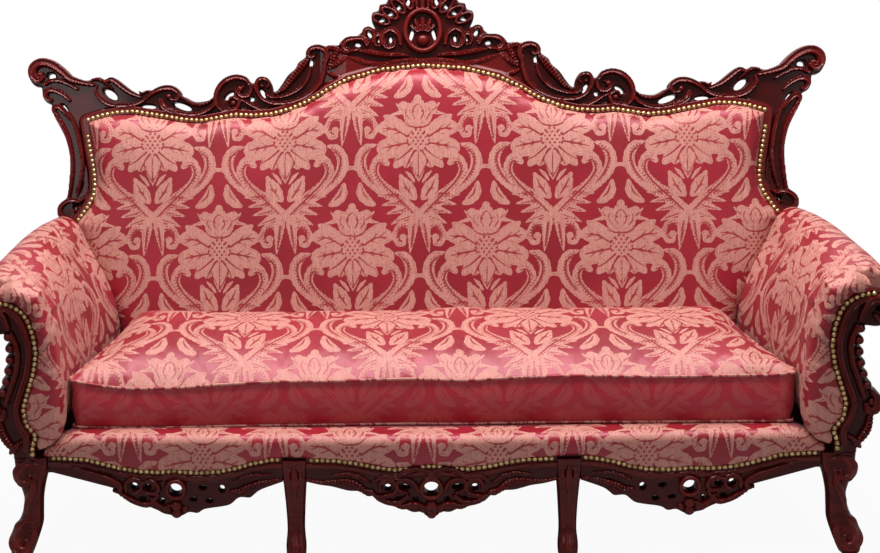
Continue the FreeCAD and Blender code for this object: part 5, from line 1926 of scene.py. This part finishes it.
def lay_the_floor():
    """A pale floor that the camera sees as nearly white."""
    deselect()
    bpy.ops.mesh.primitive_grid_add(x_subdivisions=8, y_subdivisions=8, size=40.0, location=(0, 0, 0))
    floor = bpy.context.object
    floor.name = "studio_floor"
    material, tree, shader = blank_material("pale_floor", Roughness=0.9, Specular_IOR_Level=0.0)
    place = object_place(tree)
    tint = remap(tree, noise_at(tree, place, 3.0), 0.0, 1.0, 0.42, 0.46)
    tree.links.new(tint, shader.inputs["Base Color"])
    path = tree.nodes.new("ShaderNodeLightPath")
    seen = combine(tree, "MAXIMUM", path.outputs["Is Camera Ray"], path.outputs["Is Transmission Ray"])
    far = tree.nodes.new("ShaderNodeVectorMath")
    far.operation = "LENGTH"
    tree.links.new(place, far.inputs[0])
    white = remap(tree, far.outputs["Value"], 1.1, 2.2, 0.95, 1.0)
    glow = add_node(tree, "Emission", Strength=1.0)
    blend = tree.nodes.new("ShaderNodeMixShader")
    tree.links.new(combine(tree, "MULTIPLY", seen, white), blend.inputs["Fac"])
    tree.links.new(shader.outputs[0], blend.inputs[1])
    tree.links.new(glow.outputs[0], blend.inputs[2])
    tree.links.new(blend.outputs[0], tree.nodes["Material Output"].inputs["Surface"])
    floor.data.materials.append(material)


bpy.context.scene.view_settings.view_transform = "Standard"
place_camera()
light_the_studio()
lay_the_floor()

# Materials of the pieces and of the solids that show unchanged
damask = damask_material()
mahogany = mahogany_material()
brass = brass_material()
back_cloth = cloth_material("back_cloth", (0.20, 0.010, 0.02), (0.27, 0.016, 0.03), 330.0, 0.62)
black_cloth = cloth_material("black_cloth", (0.012, 0.012, 0.012), (0.03, 0.03, 0.03), 400.0, 0.85)
deck_cloth = cloth_material("deck_cloth", (0.16, 0.008, 0.018), (0.22, 0.012, 0.025), 330.0, 0.8)
zip_tape = cloth_material("zip_tape", (0.10, 0.008, 0.015), (0.14, 0.012, 0.02), 500.0, 0.7)
beech = beech_material()
foam = speckled_material("foam_block", (0.62, 0.55, 0.38), (0.72, 0.66, 0.48), 300.0, 0.85)
steel = speckled_material("spring_steel", (0.20, 0.21, 0.22), (0.32, 0.33, 0.34), 200.0, 0.35, 1.0)
glide = speckled_material("glide_plastic", (0.012, 0.011, 0.011), (0.025, 0.022, 0.02), 250.0, 0.5)
finish_of = {"carved_mahogany": mahogany, "frame_beech": beech, "damask": damask, "back_cloth": back_cloth,
             "black_cloth": black_cloth, "zip_tape": zip_tape, "foam": foam, "antique_brass": brass,
             "spring_steel": steel, "glide_plastic": glide}

# The pieces, dressed
wood_pieces = make_back_show_wood() + make_aprons() + make_facings() + make_legs()
soft_pieces = [make_back_pad()] + make_arms() + [make_seat_border()] + make_outer_panels()
plain_cloths = [(make_back_cloth(), back_cloth, "back_cloth"), (make_dust_cloth(), black_cloth, "black_cloth"),
                (make_deck(), deck_cloth, "foam")]
cushion_pieces = [make_cushion()] + make_welts()
for piece in wood_pieces:
    dress(piece, mahogany, "sofa_frame")
for piece in soft_pieces:
    dress(piece, damask, "sofa_frame")
for piece in cushion_pieces:
    dress(piece, damask, "seat_cushion")
for piece, cloth, slot in plain_cloths:
    dress(piece, cloth, "sofa_frame")
slot_of = {row["node"]: row["material_slot"] for row in frame["record"]["subparts"]}
for name, node in nodes.items():
    node.data.materials.clear()
    node.data.materials.append(finish_of[slot_of[name]])

bpy.context.view_layer.update()
